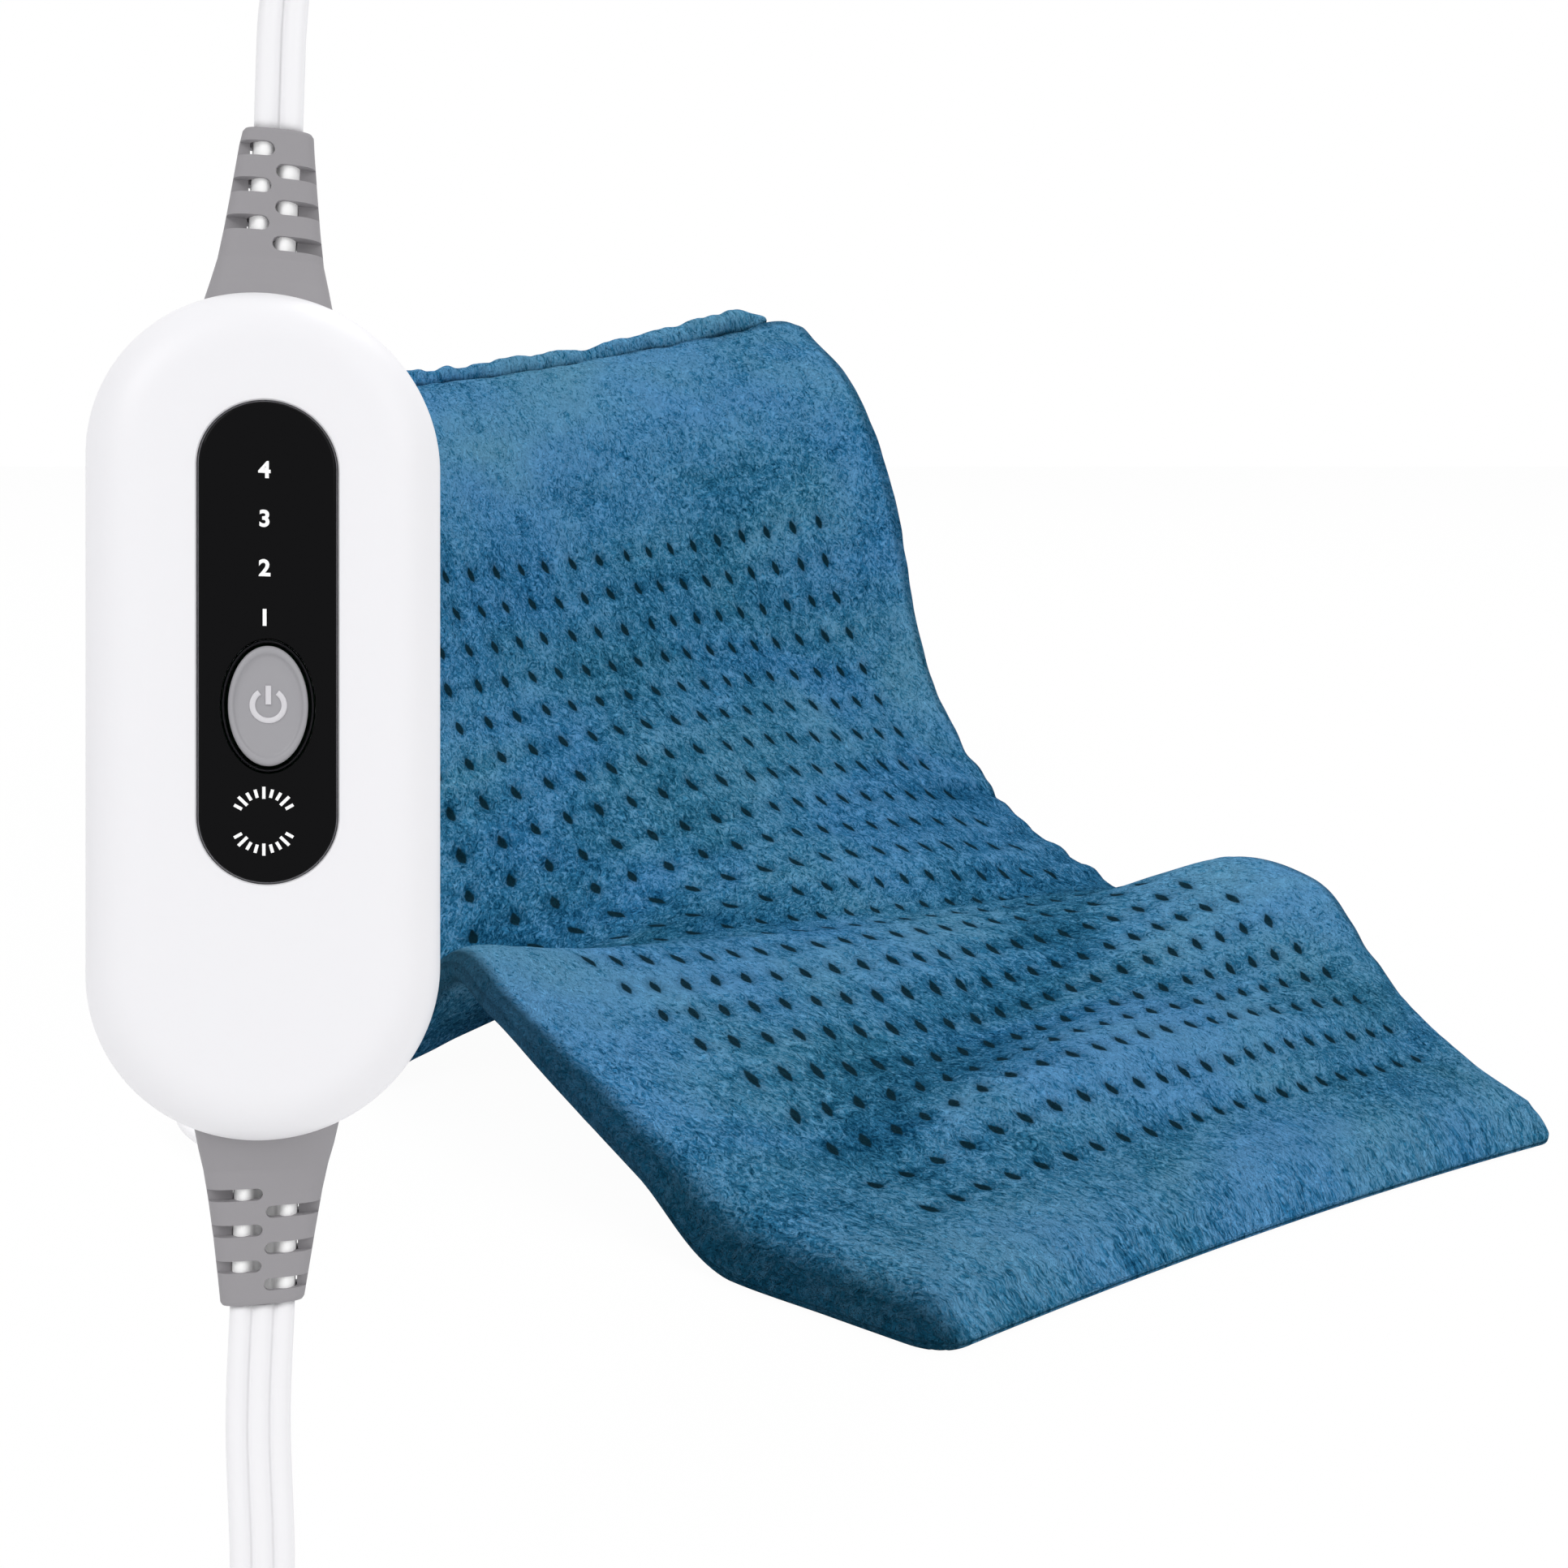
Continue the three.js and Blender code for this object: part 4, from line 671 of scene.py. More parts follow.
def oblong(count: int, power: float) -> Array:
    """A rounded square's points from -1 to 1: |cos|^power and |sin|^power with their signs.

    Args:
        count: points round it.
        power: 1 for a circle, less for squarer.
    Returns:
        Two numbers for each point.
    """
    angle = turn_round(count)
    both = np.stack([np.cos(angle), np.sin(angle)], -1)
    return np.sign(both) * np.abs(both) ** power


def bell(gap: Array, width: float) -> Array:
    """exp(-(gap / width)^2): 1 where the gap is 0, fading over the width."""
    return np.exp(-((gap / width) ** 2))


def ramp(value: Array, start: float, end: float) -> Array:
    """0 up to the start, rising evenly to 1 at the end."""
    return np.clip((value - start) / (end - start), 0, 1)


def smooth(t: Array) -> Array:
    """3 t^2 - 2 t^3: from 0 to 1 with a level start and end."""
    return t * t * (3 - 2 * t)


def soft_noise(shape: tuple[int, int], size: Pair, grain: float, seed: int) -> Array:
    """Smooth random waves over a sheet, from -1 to 1 or so.

    White noise is filtered by exp(-(k grain)^2 / 2), where k is the wave number in radians a metre.

    Args:
        shape, size: rows and columns of points, and the sheet's two sides, in metres.
        grain, seed: the waves' size, in metres, and the seed of the random draw.
    Returns:
        One number for each point.
    """
    rows, columns = shape
    white = np.random.default_rng(seed).normal(size=shape)
    kx = 2 * np.pi * np.fft.fftfreq(rows, size[0] / rows)[:, None]
    ky = 2 * np.pi * np.fft.fftfreq(columns, size[1] / columns)[None, :]
    waves = np.fft.ifft2(np.fft.fft2(white) * np.exp(-((kx**2 + ky**2) * grain**2) / 2)).real
    return waves / (2 * waves.std())


# The pad: its left edge, middle line and right edge from the back to the front, as shares of its length

LEFT_EDGE = np.array([
    (-0.6, 0.53, 0.365), (-0.56, 0.47, 0.329), (-0.525, 0.42, 0.278), (-0.5, 0.37, 0.22),
    (-0.485, 0.31, 0.155), (-0.47, 0.255, 0.09), (-0.46, 0.2, 0.04), (-0.455, 0.16, 0.0115),
    (-0.445, 0.14, 0.0105), (-0.42, 0.14, 0.04), (-0.39, 0.135, 0.073), (-0.36, 0.09, 0.069),
    (-0.315, 0.03, 0.048), (-0.275, -0.015, 0.025), (-0.243, -0.057, 0.0115), (-0.197, -0.09, 0.01),
    (-0.152, -0.121, 0.01),
])
MIDDLE_LINE = np.array([
    (-0.44, 0.705, 0.3795), (-0.405, 0.65, 0.337), (-0.38, 0.61, 0.277), (-0.355, 0.565, 0.215),
    (-0.325, 0.515, 0.16), (-0.285, 0.46, 0.115), (-0.245, 0.41, 0.075), (-0.215, 0.35, 0.05),
    (-0.208, 0.3, 0.037), (-0.185, 0.257, 0.042), (-0.142, 0.217, 0.035), (-0.105, 0.18, 0.027),
    (-0.082, 0.156, 0.024), (-0.064, 0.126, 0.028), (-0.049, 0.096, 0.03), (-0.036, 0.066, 0.019),
    (-0.024, 0.042, 0.0112), (-0.01, 0.018, 0.0103), (0.009, -0.014, 0.01),
])
RIGHT_EDGE = np.array([
    (-0.205, 0.79, 0.43), (-0.16, 0.74, 0.38), (-0.135, 0.695, 0.325), (-0.12, 0.66, 0.265),
    (-0.11, 0.63, 0.2), (-0.095, 0.585, 0.14), (-0.067, 0.535, 0.09), (-0.03, 0.497, 0.051),
    (0.01, 0.472, 0.026), (0.046, 0.45, 0.012), (0.07, 0.42, 0.034), (0.097, 0.385, 0.061),
    (0.132, 0.345, 0.056), (0.144, 0.277, 0.03), (0.1535, 0.21, 0.0135), (0.162, 0.143, 0.0105),
    (0.173, 0.077, 0.01),
])


@dataclass(frozen=True)
class PadSurface:
    """The pad's middle surface: a parabola across, through both edges and the middle line.

    Args:
        trough: the ends of a shallow trough across the front fold, as shares of the width and length.
        depth, width: how deep it is and how wide its bell is, in metres.
        step: how far apart, as a share, the points lie from which directions are taken.
    """

    trough: Ends = ((0.8, 0.68), (0.2, 0.865))
    depth: float = 7 * MM
    width: float = 30 * MM
    step: float = 0.003

    @staticmethod
    def from_line(across: Array, along: Array, ends: Ends) -> tuple[Array, Array]:
        """How far spots on the flat sheet lie from a straight line: |spot - start - share (end - start)|.

        Args:
            across, along, ends: the spots and the line's two ends, as shares of the width and length.
        Returns:
            The distance in metres, and the share of the line that is nearest.
        """
        size = np.array([PAD_WIDTH, PAD_LENGTH])
        start, end = (np.array(spot) * size for spot in ends)
        spot = np.stack([across, along], -1) * size
        line = end - start
        share = np.clip((spot - start) @ line / (line @ line), 0, 1)
        return np.linalg.norm(spot - start - share[..., None] * line, axis=-1), share

    def sink(self, across: Array, along: Array) -> Array:
        """How far the trough lowers the sheet: depth exp(-(distance from its line / width)^2)."""
        return self.depth * bell(self.from_line(across, along, self.trough)[0], self.width)

    def point(self, across: Array, along: Array) -> Array:
        """The row-frame point at shares of the width and length, in metres.

        point = left (1-u)(1-2u) + middle 4u(1-u) + right u(2u-1), each line taken at its share v.

        Args:
            across: shares u of the width, from the left.
            along: shares v of the length, from the back.
        Returns:
            The points.
        """
        v = np.clip(along, 0, 1)
        flat = v.ravel()
        left, middle, right = (
            catmull_rom(line, flat).reshape(*v.shape, 3) for line in (LEFT_EDGE, MIDDLE_LINE, RIGHT_EDGE)
        )
        u = across[..., None]
        sheet = left * (1 - u) * (1 - 2 * u) + middle * 4 * u * (1 - u) + right * u * (2 * u - 1)
        return PAD_LENGTH * sheet - self.sink(across, v)[..., None] * np.array([0, 0, 1.0])

    def frames(
        self, across: Array, along: Array,
    ) -> tuple[Array, Array, Array, Array]:
        """Points with their directions: down and side join near points, and the normal is down x side.

        Args:
            across, along: shares of the width and length.
        Returns:
            The point, the upward normal, the direction down the pad and the direction across it.
        """
        e = self.step
        side = self.point(np.minimum(across + e, 1), along) - self.point(np.maximum(across - e, 0), along)
        down = self.point(across, np.minimum(along + e, 1)) - self.point(across, np.maximum(along - e, 0))
        return self.point(across, along), unit(np.cross(down, side)), unit(down), unit(side)


@dataclass(frozen=True)
class Crease:
    """A soft fold line: its ends as shares of the pad's sides, and its depth and width in metres."""

    ends: Ends
    depth: float
    width: float


CREASES = (
    Crease(((1.0, 0.461), (0.83, 0.468)), 2.2 * MM, 3.4 * MM),
    Crease(((1.0, 0.503), (0.78, 0.54)), 1.4 * MM, 4.2 * MM),
    Crease(((1.0, 0.535), (0.7, 0.583)), 1.6 * MM, 4.5 * MM),
    Crease(((1.0, 0.565), (0.62, 0.618)), 1.8 * MM, 5.5 * MM),
    Crease(((1.0, 0.42), (0.9, 0.432)), 0.8 * MM, 4 * MM),
    Crease(((0.8, 0.15), (0.66, 0.163)), 1.6 * MM, 6 * MM),
    Crease(((0.46, 0.15), (0.62, 0.175)), 1.2 * MM, 8 * MM),
    Crease(((0.2, 0.9), (0.52, 0.935)), 1.3 * MM, 7 * MM),
    Crease(((0.35, 0.77), (0.2, 0.83)), 1.4 * MM, 8 * MM),
)


@dataclass(frozen=True)
class LightStroke:
    """A stroke of painted light, or of painted shade where its tone is below 0. Ends and width are as a
    crease's.
    """

    ends: Ends
    width: float
    tone: float


# Strokes of painted light, and of painted shade where the tone is below 0, added to the sheet's lift.
LIGHT_STROKES = (
    LightStroke(((1.02, 0.565), (0.72, 0.695)), 13 * MM, -0.8),
    LightStroke(((0.72, 0.695), (0.58, 0.745)), 15 * MM, -0.75),
    LightStroke(((0.5, 0.775), (0.42, 0.805)), 24 * MM, -0.6),
    LightStroke(((0.4, 0.815), (0.2, 0.862)), 13 * MM, -0.8),
    LightStroke(((0.02, 0.7), (0.45, 0.695)), 15 * MM, 0.7),
    LightStroke(((0.75, 0.77), (0.98, 0.7)), 16 * MM, 0.4),
    LightStroke(((0.9, 0.985), (0.12, 0.965)), 12 * MM, 0.45),
    LightStroke(((0.3, 0.12), (0.45, 0.115)), 26 * MM, 0.75),
    LightStroke(((0.1, 0.08), (0.7, 0.06)), 20 * MM, 0.3),
    LightStroke(((0.75, 0.178), (0.82, 0.17)), 15 * MM, -0.5),
    LightStroke(((0.98, 0.3), (0.97, 0.42)), 9 * MM, 0.45),
    LightStroke(((1.0, 0.464), (0.86, 0.472)), 7 * MM, -0.6),
    LightStroke(((0.9, 0.86), (0.98, 0.87)), 12 * MM, -0.4),
    LightStroke(((0.05, 0.585), (0.5, 0.6)), 16 * MM, -0.5),
)


@dataclass(frozen=True)
class Waves:
    """Smooth random waves over the pad: their size in metres, their seed and the usual crest's height."""

    grain: float
    seed: int
    height: float

    def over(self, shape: tuple[int, int]) -> Array:
        """The waves at the points of a grid over the whole pad."""
        return soft_noise(shape, (PAD_LENGTH, PAD_WIDTH), self.grain, self.seed) * self.height


@dataclass(frozen=True)
class StitchColumns:
    """Where the stitch columns lie, counted from the right, as shares of the pad's width.

    Args:
        first, pitch: where column 0 lies, and from one column to the next on the right.
        turn, turn_number, left_pitch: where the left side's spacing starts, the number there, and its pitch.
    """

    first: float
    pitch: float
    turn: float
    turn_number: float
    left_pitch: float

    def number(self, u: Array) -> Array:
        """(first - u) / pitch right of the turn, and turn_number + (turn - u) / left_pitch left of it."""
        right = (self.first - u) / self.pitch
        return np.where(u > self.turn, right, self.turn_number + (self.turn - u) / self.left_pitch)


@dataclass(frozen=True)
class PadGrid:
    """Arrays over the pad's grid of points.

    Args:
        x, y, inset: places from the flat pad's left and back edge and in from its outline, in metres.
        i, j: the stitch lattice's numbers.
    """

    x: Array
    y: Array
    inset: Array
    i: Array
    j: Array

    @property
    def u(self) -> Array:
        """Shares of the width."""
        return self.x / PAD_WIDTH

    @property
    def v(self) -> Array:
        """Shares of the length."""
        return self.y / PAD_LENGTH

    @property
    def rim(self) -> Array:
        """0 at the outline, rising to 1 at the pad's half thickness inside it."""
        return ramp(self.inset, 0, PAD_HALF)


@dataclass(frozen=True)
class HeatingPad:
    """The plush pad with its quilted pits.

    Args:
        least_cover: least height of the upper side over the middle surface, which hides what lies inside.
        dimple, heart: half width and half length of the dimple round a stitch, and of its deep middle.
        puckers, gathers: the quilting's slow swell, and the waves along the back edge.
        outline_least, outline_bend: how much the right edge strays, and how much more at the inner bend.
        crease_rise, crease_side: the ridge beside a crease, as a share of its depth, and where it lies.
        floor_span: heights between which the rim is no longer pressed flat by the floor.
        still_span: heights between which the creases start, so that the underside stays on the floor.
    """

    surface: PadSurface = field(default_factory=PadSurface)
    columns: int = 190
    rows: int = 330
    rim_steps: int = 9
    corner: float = 10 * MM
    rim_width: float = 18 * MM
    least_cover: float = 4.9 * MM
    back_columns: StitchColumns = StitchColumns(0.885, 0.0395, 0.57, 8, 0.049)
    front_columns: StitchColumns = StitchColumns(0.895, 0.0325, 0.505, 12, 0.0375)
    front_part: Pair = (0.5, 0.68)
    first_row: float = 0.2075
    row_pitch: float = 0.0326
    column_wander: Waves = Waves(8 * MM, 5, 0.07)
    row_wander: Waves = Waves(8 * MM, 6, 0.05)
    dimple_pitch: Pair = (PAD_WIDTH / 29, PAD_LENGTH / 31.7)
    dimple: Pair = (3.6 * MM, 5.6 * MM)
    heart: Pair = (1.6 * MM, 3.2 * MM)
    dimple_depth: float = 1.2 * MM
    heart_depth: float = 1.4 * MM
    front_heart_depth: float = 0.4 * MM
    front_hearts: Pair = (0.52, 0.62)
    slack: float = 0.6 * MM
    loose: tuple[Waves, Waves] = (Waves(9 * MM, 3, 0.5 * MM), Waves(3 * MM, 4, 0.2 * MM))
    puckers: Waves = Waves(17 * MM, 14, 1.5 * MM)
    gathers: Waves = Waves(3.4 * MM, 19, 1.3 * MM)
    gather_reach: float = 14 * MM
    outline_waves: Waves = Waves(4.5 * MM, 21, 1 * MM)
    outline_reach: float = 16 * MM
    outline_least: float = 0.5
    outline_bend: float = 1.1
    bend_place: float = 0.48
    bend_width: float = 0.09
    crease_rise: float = 0.45
    crease_side: float = 1.9
    floor_span: Pair = (6 * MM, 16 * MM)
    floor_drop: float = 4.4 * MM
    floor_squareness: float = 0.35
    still_span: Pair = (9 * MM, 17 * MM)
    floor_gap: float = 0.3 * MM
    round_power: float = 0.5

    def edge_shares(self, count: int, size: float) -> Array:
        """Shares across a side, closer together inside the rounded rim: half thickness (1 - cos a) there.

        Args:
            count: how many.
            size: the side's length, in metres.
        Returns:
            Shares from 0 to 1.
        """
        turn = np.linspace(0, math.pi / 2, self.rim_steps)
        rim = PAD_HALF * (1 - np.cos(turn)) / size
        middle = np.linspace(rim[-1], 1 - rim[-1], count - 2 * (self.rim_steps - 1))
        return np.concatenate([rim[:-1], middle, 1 - rim[:-1][::-1]])

    def grid(self) -> PadGrid:
        """The grid of points, with the square grid's corners moved onto quarter rounds.

        In each corner square, (a, b) from its inner corner goes to (a sqrt(1-b^2/2), b sqrt(1-a^2/2)).
        """
        u, v = np.meshgrid(self.edge_shares(self.columns, PAD_WIDTH), self.edge_shares(self.rows, PAD_LENGTH))
        x, y = u * PAD_WIDTH, v * PAD_LENGTH
        dx, dy = np.minimum(x, PAD_WIDTH - x), np.minimum(y, PAD_LENGTH - y)
        a = np.clip(1 - dx / self.corner, 0, 1)
        b = np.clip(1 - dy / self.corner, 0, 1)
        a2, b2 = a * np.sqrt(1 - b**2 / 2), b * np.sqrt(1 - a**2 / 2)
        cornered = (a > 0) & (b > 0)
        dx = np.where(cornered, self.corner * (1 - a2), dx)
        dy = np.where(cornered, self.corner * (1 - b2), dy)
        inset = np.where(cornered, self.corner * (1 - np.hypot(a2, b2)), np.minimum(dx, dy))
        x, y = np.where(u < 0.5, dx, PAD_WIDTH - dx), np.where(v < 0.5, dy, PAD_LENGTH - dy)
        return PadGrid(x, y, inset, *self.lattice(x / PAD_WIDTH, y / PAD_LENGTH))

    def lattice(self, u: Array, v: Array) -> tuple[Array, Array]:
        """The stitch lattice's numbers over the pad: a stitch lies where both are whole.

        Columns count from the right and rows from the back. The columns lie closer in the front part: i goes
        from one spacing to the other with 3 t^2 - 2 t^3. Both stray slowly.

        Args:
            u, v: shares of the width and length.
        Returns:
            The numbers across and along.
        """
        t = smooth(ramp(v, *self.front_part))
        i = self.back_columns.number(u) * (1 - t) + self.front_columns.number(u) * t
        j = (v - self.first_row) / self.row_pitch
        return i + self.column_wander.over(u.shape), j + self.row_wander.over(u.shape)

    def dents(self, grid: PadGrid) -> Array:
        """How deep the quilting pulls the pile down: two bells exp(-(x/w)^2 - (y/l)^2) at each stitch."""
        x = (grid.i - np.clip(np.round(grid.i), 0, STITCH_COLUMNS - 1)) * self.dimple_pitch[0]
        y = (grid.j - np.clip(np.round(grid.j), 0, STITCH_ROWS - 1)) * self.dimple_pitch[1]
        wide, narrow = (bell(x, w) * bell(y, l) for w, l in (self.dimple, self.heart))
        change = self.front_heart_depth - self.heart_depth
        heart = self.heart_depth + change * ramp(grid.v, *self.front_hearts)
        return self.dimple_depth * wide + heart * narrow

    def creased(self, grid: PadGrid) -> Array:
        """How far the cloth sinks in its creases.

        Each crease is depth sqrt(1 - share) times a bell, less a lower bell beside it where the cloth rises.
        """
        sunk = np.zeros(grid.x.shape)
        for crease in CREASES:
            gap, share = self.surface.from_line(grid.u, grid.v, crease.ends)
            ridge = self.crease_rise * bell(gap - self.crease_side * crease.width, crease.width)
            sunk += crease.depth * np.sqrt(1 - share) * (bell(gap, crease.width) - ridge)
        return sunk

    def sideways(self, grid: PadGrid) -> Array:
        """How far the right edge strays: waves, fading inwards by a bell and strongest at the inner bend."""
        near = bell((1 - grid.u) * PAD_WIDTH, self.outline_reach)
        bent = self.outline_least + self.outline_bend * bell(grid.v - self.bend_place, self.bend_width)
        return near * bent * self.outline_waves.over(grid.x.shape)

    def skins(self, grid: PadGrid, sunk: Array) -> tuple[Array, Array, Array]:
        """The upper and lower side and the middle between them.

        The upper side lies half thickness (1 - (1 - e)^2)^power over the middle, where e rises from 0 to 1
        over the rim's width, less the dents, the slack and the unevenness. The lower side is a quarter round
        sqrt(half^2 - (half - inset)^2) at the rim and flat inside it.

        Args:
            grid: the pad's grid.
            sunk: how far the creases go down.
        Returns:
            Three grids of points.
        """
        shape, rim = grid.x.shape, grid.rim
        point, normal, _, side = self.surface.frames(grid.u, grid.v)
        height = point[..., 2]
        near_floor = 1 - ramp(height, *self.floor_span)
        raised = ramp(height, *self.still_span)
        eased = 1 - ramp(grid.inset, 0, self.rim_width)
        moved = (self.gathers.over(shape) * np.exp(-grid.y / self.gather_reach) - sunk) * raised
        point = point + normal * moved[..., None] + side * (self.sideways(grid) * raised)[..., None]
        point[..., 2] -= self.floor_drop * eased**2 * near_floor
        flat = PAD_HALF * (1 - eased**2) ** (self.round_power + self.floor_squareness * near_floor)
        crown = np.sqrt(PAD_HALF**2 - (PAD_HALF * (1 - rim)) ** 2)
        taken = self.slack + np.abs(sum(waves.over(shape) for waves in self.loose))
        upper = flat - rim * (taken - self.puckers.over(shape) + self.dents(grid))
        upper = np.where(rim >= 1, np.maximum(upper, self.least_cover - np.minimum(moved, 0)), upper)
        top = point + normal * upper[..., None]
        bottom = point - normal * (crown - rim * taken)[..., None]
        bottom[..., 2] = np.maximum(bottom[..., 2], 0)
        top[..., 2] = np.maximum(top[..., 2], self.floor_gap)
        return top, bottom, point

    @staticmethod
    def joined(top: Array, bottom: Array) -> tuple[Piece, Array]:
        """Joins the two sides along their common outline into one piece.

        Args:
            top, bottom: grids of points.
        Returns:
            The piece, and which of all the points, top ones first, it uses.
        """
        rows, columns = top.shape[:2]
        number = np.arange(rows * columns).reshape(rows, columns)
        under = number + rows * columns
        for line in (np.s_[0, :], np.s_[-1, :], np.s_[:, 0], np.s_[:, -1]):
            under[line] = number[line]
        faces = grid_faces(rows, columns, False, False)
        below = under.ravel()[faces][:, ::-1]
        points = np.vstack([top.reshape(-1, 3), bottom.reshape(-1, 3)])
        used = np.unique(np.concatenate([faces.ravel(), below.ravel()]))
        renumber = np.full(len(points), -1)
        renumber[used] = np.arange(len(used))
        faces = np.vstack([renumber[faces], renumber[below]])
        return face_outward(add_mesh("plush_pad", points[used], faces, Coat.PLUSH)), used

    def build(self) -> None:
        """Builds the padded piece and marks it for its paint."""
        grid = self.grid()
        sunk = self.creased(grid)
        top, bottom, middle = self.skins(grid, sunk)
        pad, used = self.joined(top, bottom)
        paint = PadPaint(self.surface)
        sheet = paint.sheet(grid, middle[..., 2], sunk)
        lattices = [paint.lattice(grid, sign) for sign in (1, -1)]
        for name, sides in (("sheet", [sheet, sheet]), ("lattice", lattices)):
            both = np.vstack([side.reshape(-1, 3) for side in sides])
            mark(pad, name, *both[used].T)
        settle(pad, "pad_top_cover", "pad_bottom_cover", slot="plush")


@dataclass(frozen=True)
class PadPaint:
    """What the pad's points say to its paint, which paints light on crests and shade in troughs, creases and
    round the rim.

    Args:
        full_lift, lift_share: height over the surroundings that counts as 1, and how much that counts.
        crease_full: depth of a crease that is painted darker by 1.
        right_least: how much of the pile's colour shows through the painted rim shade on the right rim.
        front_span, front_most: how far from the left the front rim shows it, and how much of it.
        back_inset, back_most: how far in it starts on the back rim, and how much of it shows.
    """

    surface: PadSurface
    mean_reach: float = 110 * MM
    mean_width: float = 42 * MM
    full_lift: float = 9 * MM
    lift_share: float = 0.8
    crease_full: float = 4 * MM
    crease_least: float = -0.3
    crease_most: float = 0.6
    rim_width: float = 18 * MM
    left_band: float = 9 * MM
    left_band_front: float = 15 * MM
    left_front: Pair = (0.7, 0.9)
    left_strength: float = 1.35
    right_least: float = 0.35
    front_start: float = 0.9
    front_span: Pair = (12 * MM, 22 * MM)
    front_most: float = 0.8
    back_end: float = 0.05
    back_inset: float = 1.2 * MM
    back_most: float = 0.5

    def lift(self, z: Array) -> Array:
        """How far the sheet lies above its surroundings: 1 on a crest, -1 in a trough.

        The surroundings are a mean weighted by exp(-(distance / width)^2 / 2) along both ways of the sheet.

        Args:
            z: heights over the grid.
        Returns:
            One number for each point.
        """
        mean = z
        for axis, size in ((0, PAD_LENGTH), (1, PAD_WIDTH)):
            step = size / z.shape[axis]
            reach = int(self.mean_reach / step)
            weight = np.exp(-((np.arange(-reach, reach + 1) * step / self.mean_width) ** 2) / 2)
            pad = [(reach, reach) if k == axis else (0, 0) for k in (0, 1)]
            wide = np.pad(mean, pad, mode="reflect", reflect_type="odd")
            mean = np.apply_along_axis(np.convolve, axis, wide, weight / weight.sum(), "valid")
        return np.clip((z - mean) / self.full_lift, -1, 1)

    def outward(self, grid: PadGrid) -> tuple[Array, Array]:
        """Places on the flat pad, moved out over the rounded rim so that the pile isn't stretched there.

        The move is the quarter oval's arc, (W + H) / 2 times its angle, less its reach inwards.

        Args:
            grid: the pad's grid.
        Returns:
            Places across and along, in metres.
        """
        x, y, width = grid.x, grid.y, self.rim_width
        angle = np.arcsin(1 - ramp(grid.inset, 0, width))
        extra = np.maximum((width + PAD_HALF) / 2 * angle - width * np.sin(angle), 0)
        beside = np.minimum(x, PAD_WIDTH - x) < np.minimum(y, PAD_LENGTH - y)
        return (
            x + np.where(beside, extra * np.sign(x - PAD_WIDTH / 2), 0),
            y + np.where(beside, 0, extra * np.sign(y - PAD_LENGTH / 2)),
        )

    def sheet(self, grid: PadGrid, z: Array, sunk: Array) -> Array:
        """The "sheet" attribute: the place on the flat pad, and its lift less the creases plus the strokes,
        painted light where above 0 and painted shade where below.

        Args:
            grid: the pad's grid.
            z: heights over it.
            sunk: how far the creases go down.
        Returns:
            Three numbers for each point.
        """
        lift = self.lift_share * self.lift(z)
        # Painted shade in the creases, and painted light on the ridges beside them.
        lift -= np.clip(sunk / self.crease_full, self.crease_least, self.crease_most)
        for light_stroke in LIGHT_STROKES:
            lift += light_stroke.tone * bell(self.surface.from_line(grid.u, grid.v, light_stroke.ends)[0], light_stroke.width)
        return np.stack([*self.outward(grid), lift], -1)

    def lattice(self, grid: PadGrid, sign: int) -> Array:
        """The "lattice" attribute: the stitch lattice's numbers, and 0 where the painted shade round the rim
        is full to 1 where there is none.

        Args:
            grid: the pad's grid.
            sign: 1 on the upper side, -1 on the lower.
        Returns:
            Three numbers for each point.
        """
        x, u, v, rim = grid.x, grid.u, grid.v, grid.rim
        # Painted shade in a band along the left edge, and on the right, front and back rims.
        band = self.left_band + (self.left_band_front - self.left_band) * ramp(v, *self.left_front)
        unshaded = 1 - np.clip(self.left_strength * (1 - np.clip(x / band, 0, 1)), 0, 1)
        unshaded = np.where(u > 0.5, np.maximum(rim, self.right_least), unshaded)
        front = self.front_most * ramp(x, *self.front_span)
        unshaded = np.where(v > self.front_start, np.maximum(unshaded, front), unshaded)
        back = self.back_most * (np.minimum(grid.inset, PAD_HALF) > self.back_inset)
        unshaded = np.where(v < self.back_end, np.maximum(unshaded, back), unshaded)
        return np.stack([grid.i, grid.j, sign * unshaded], -1)


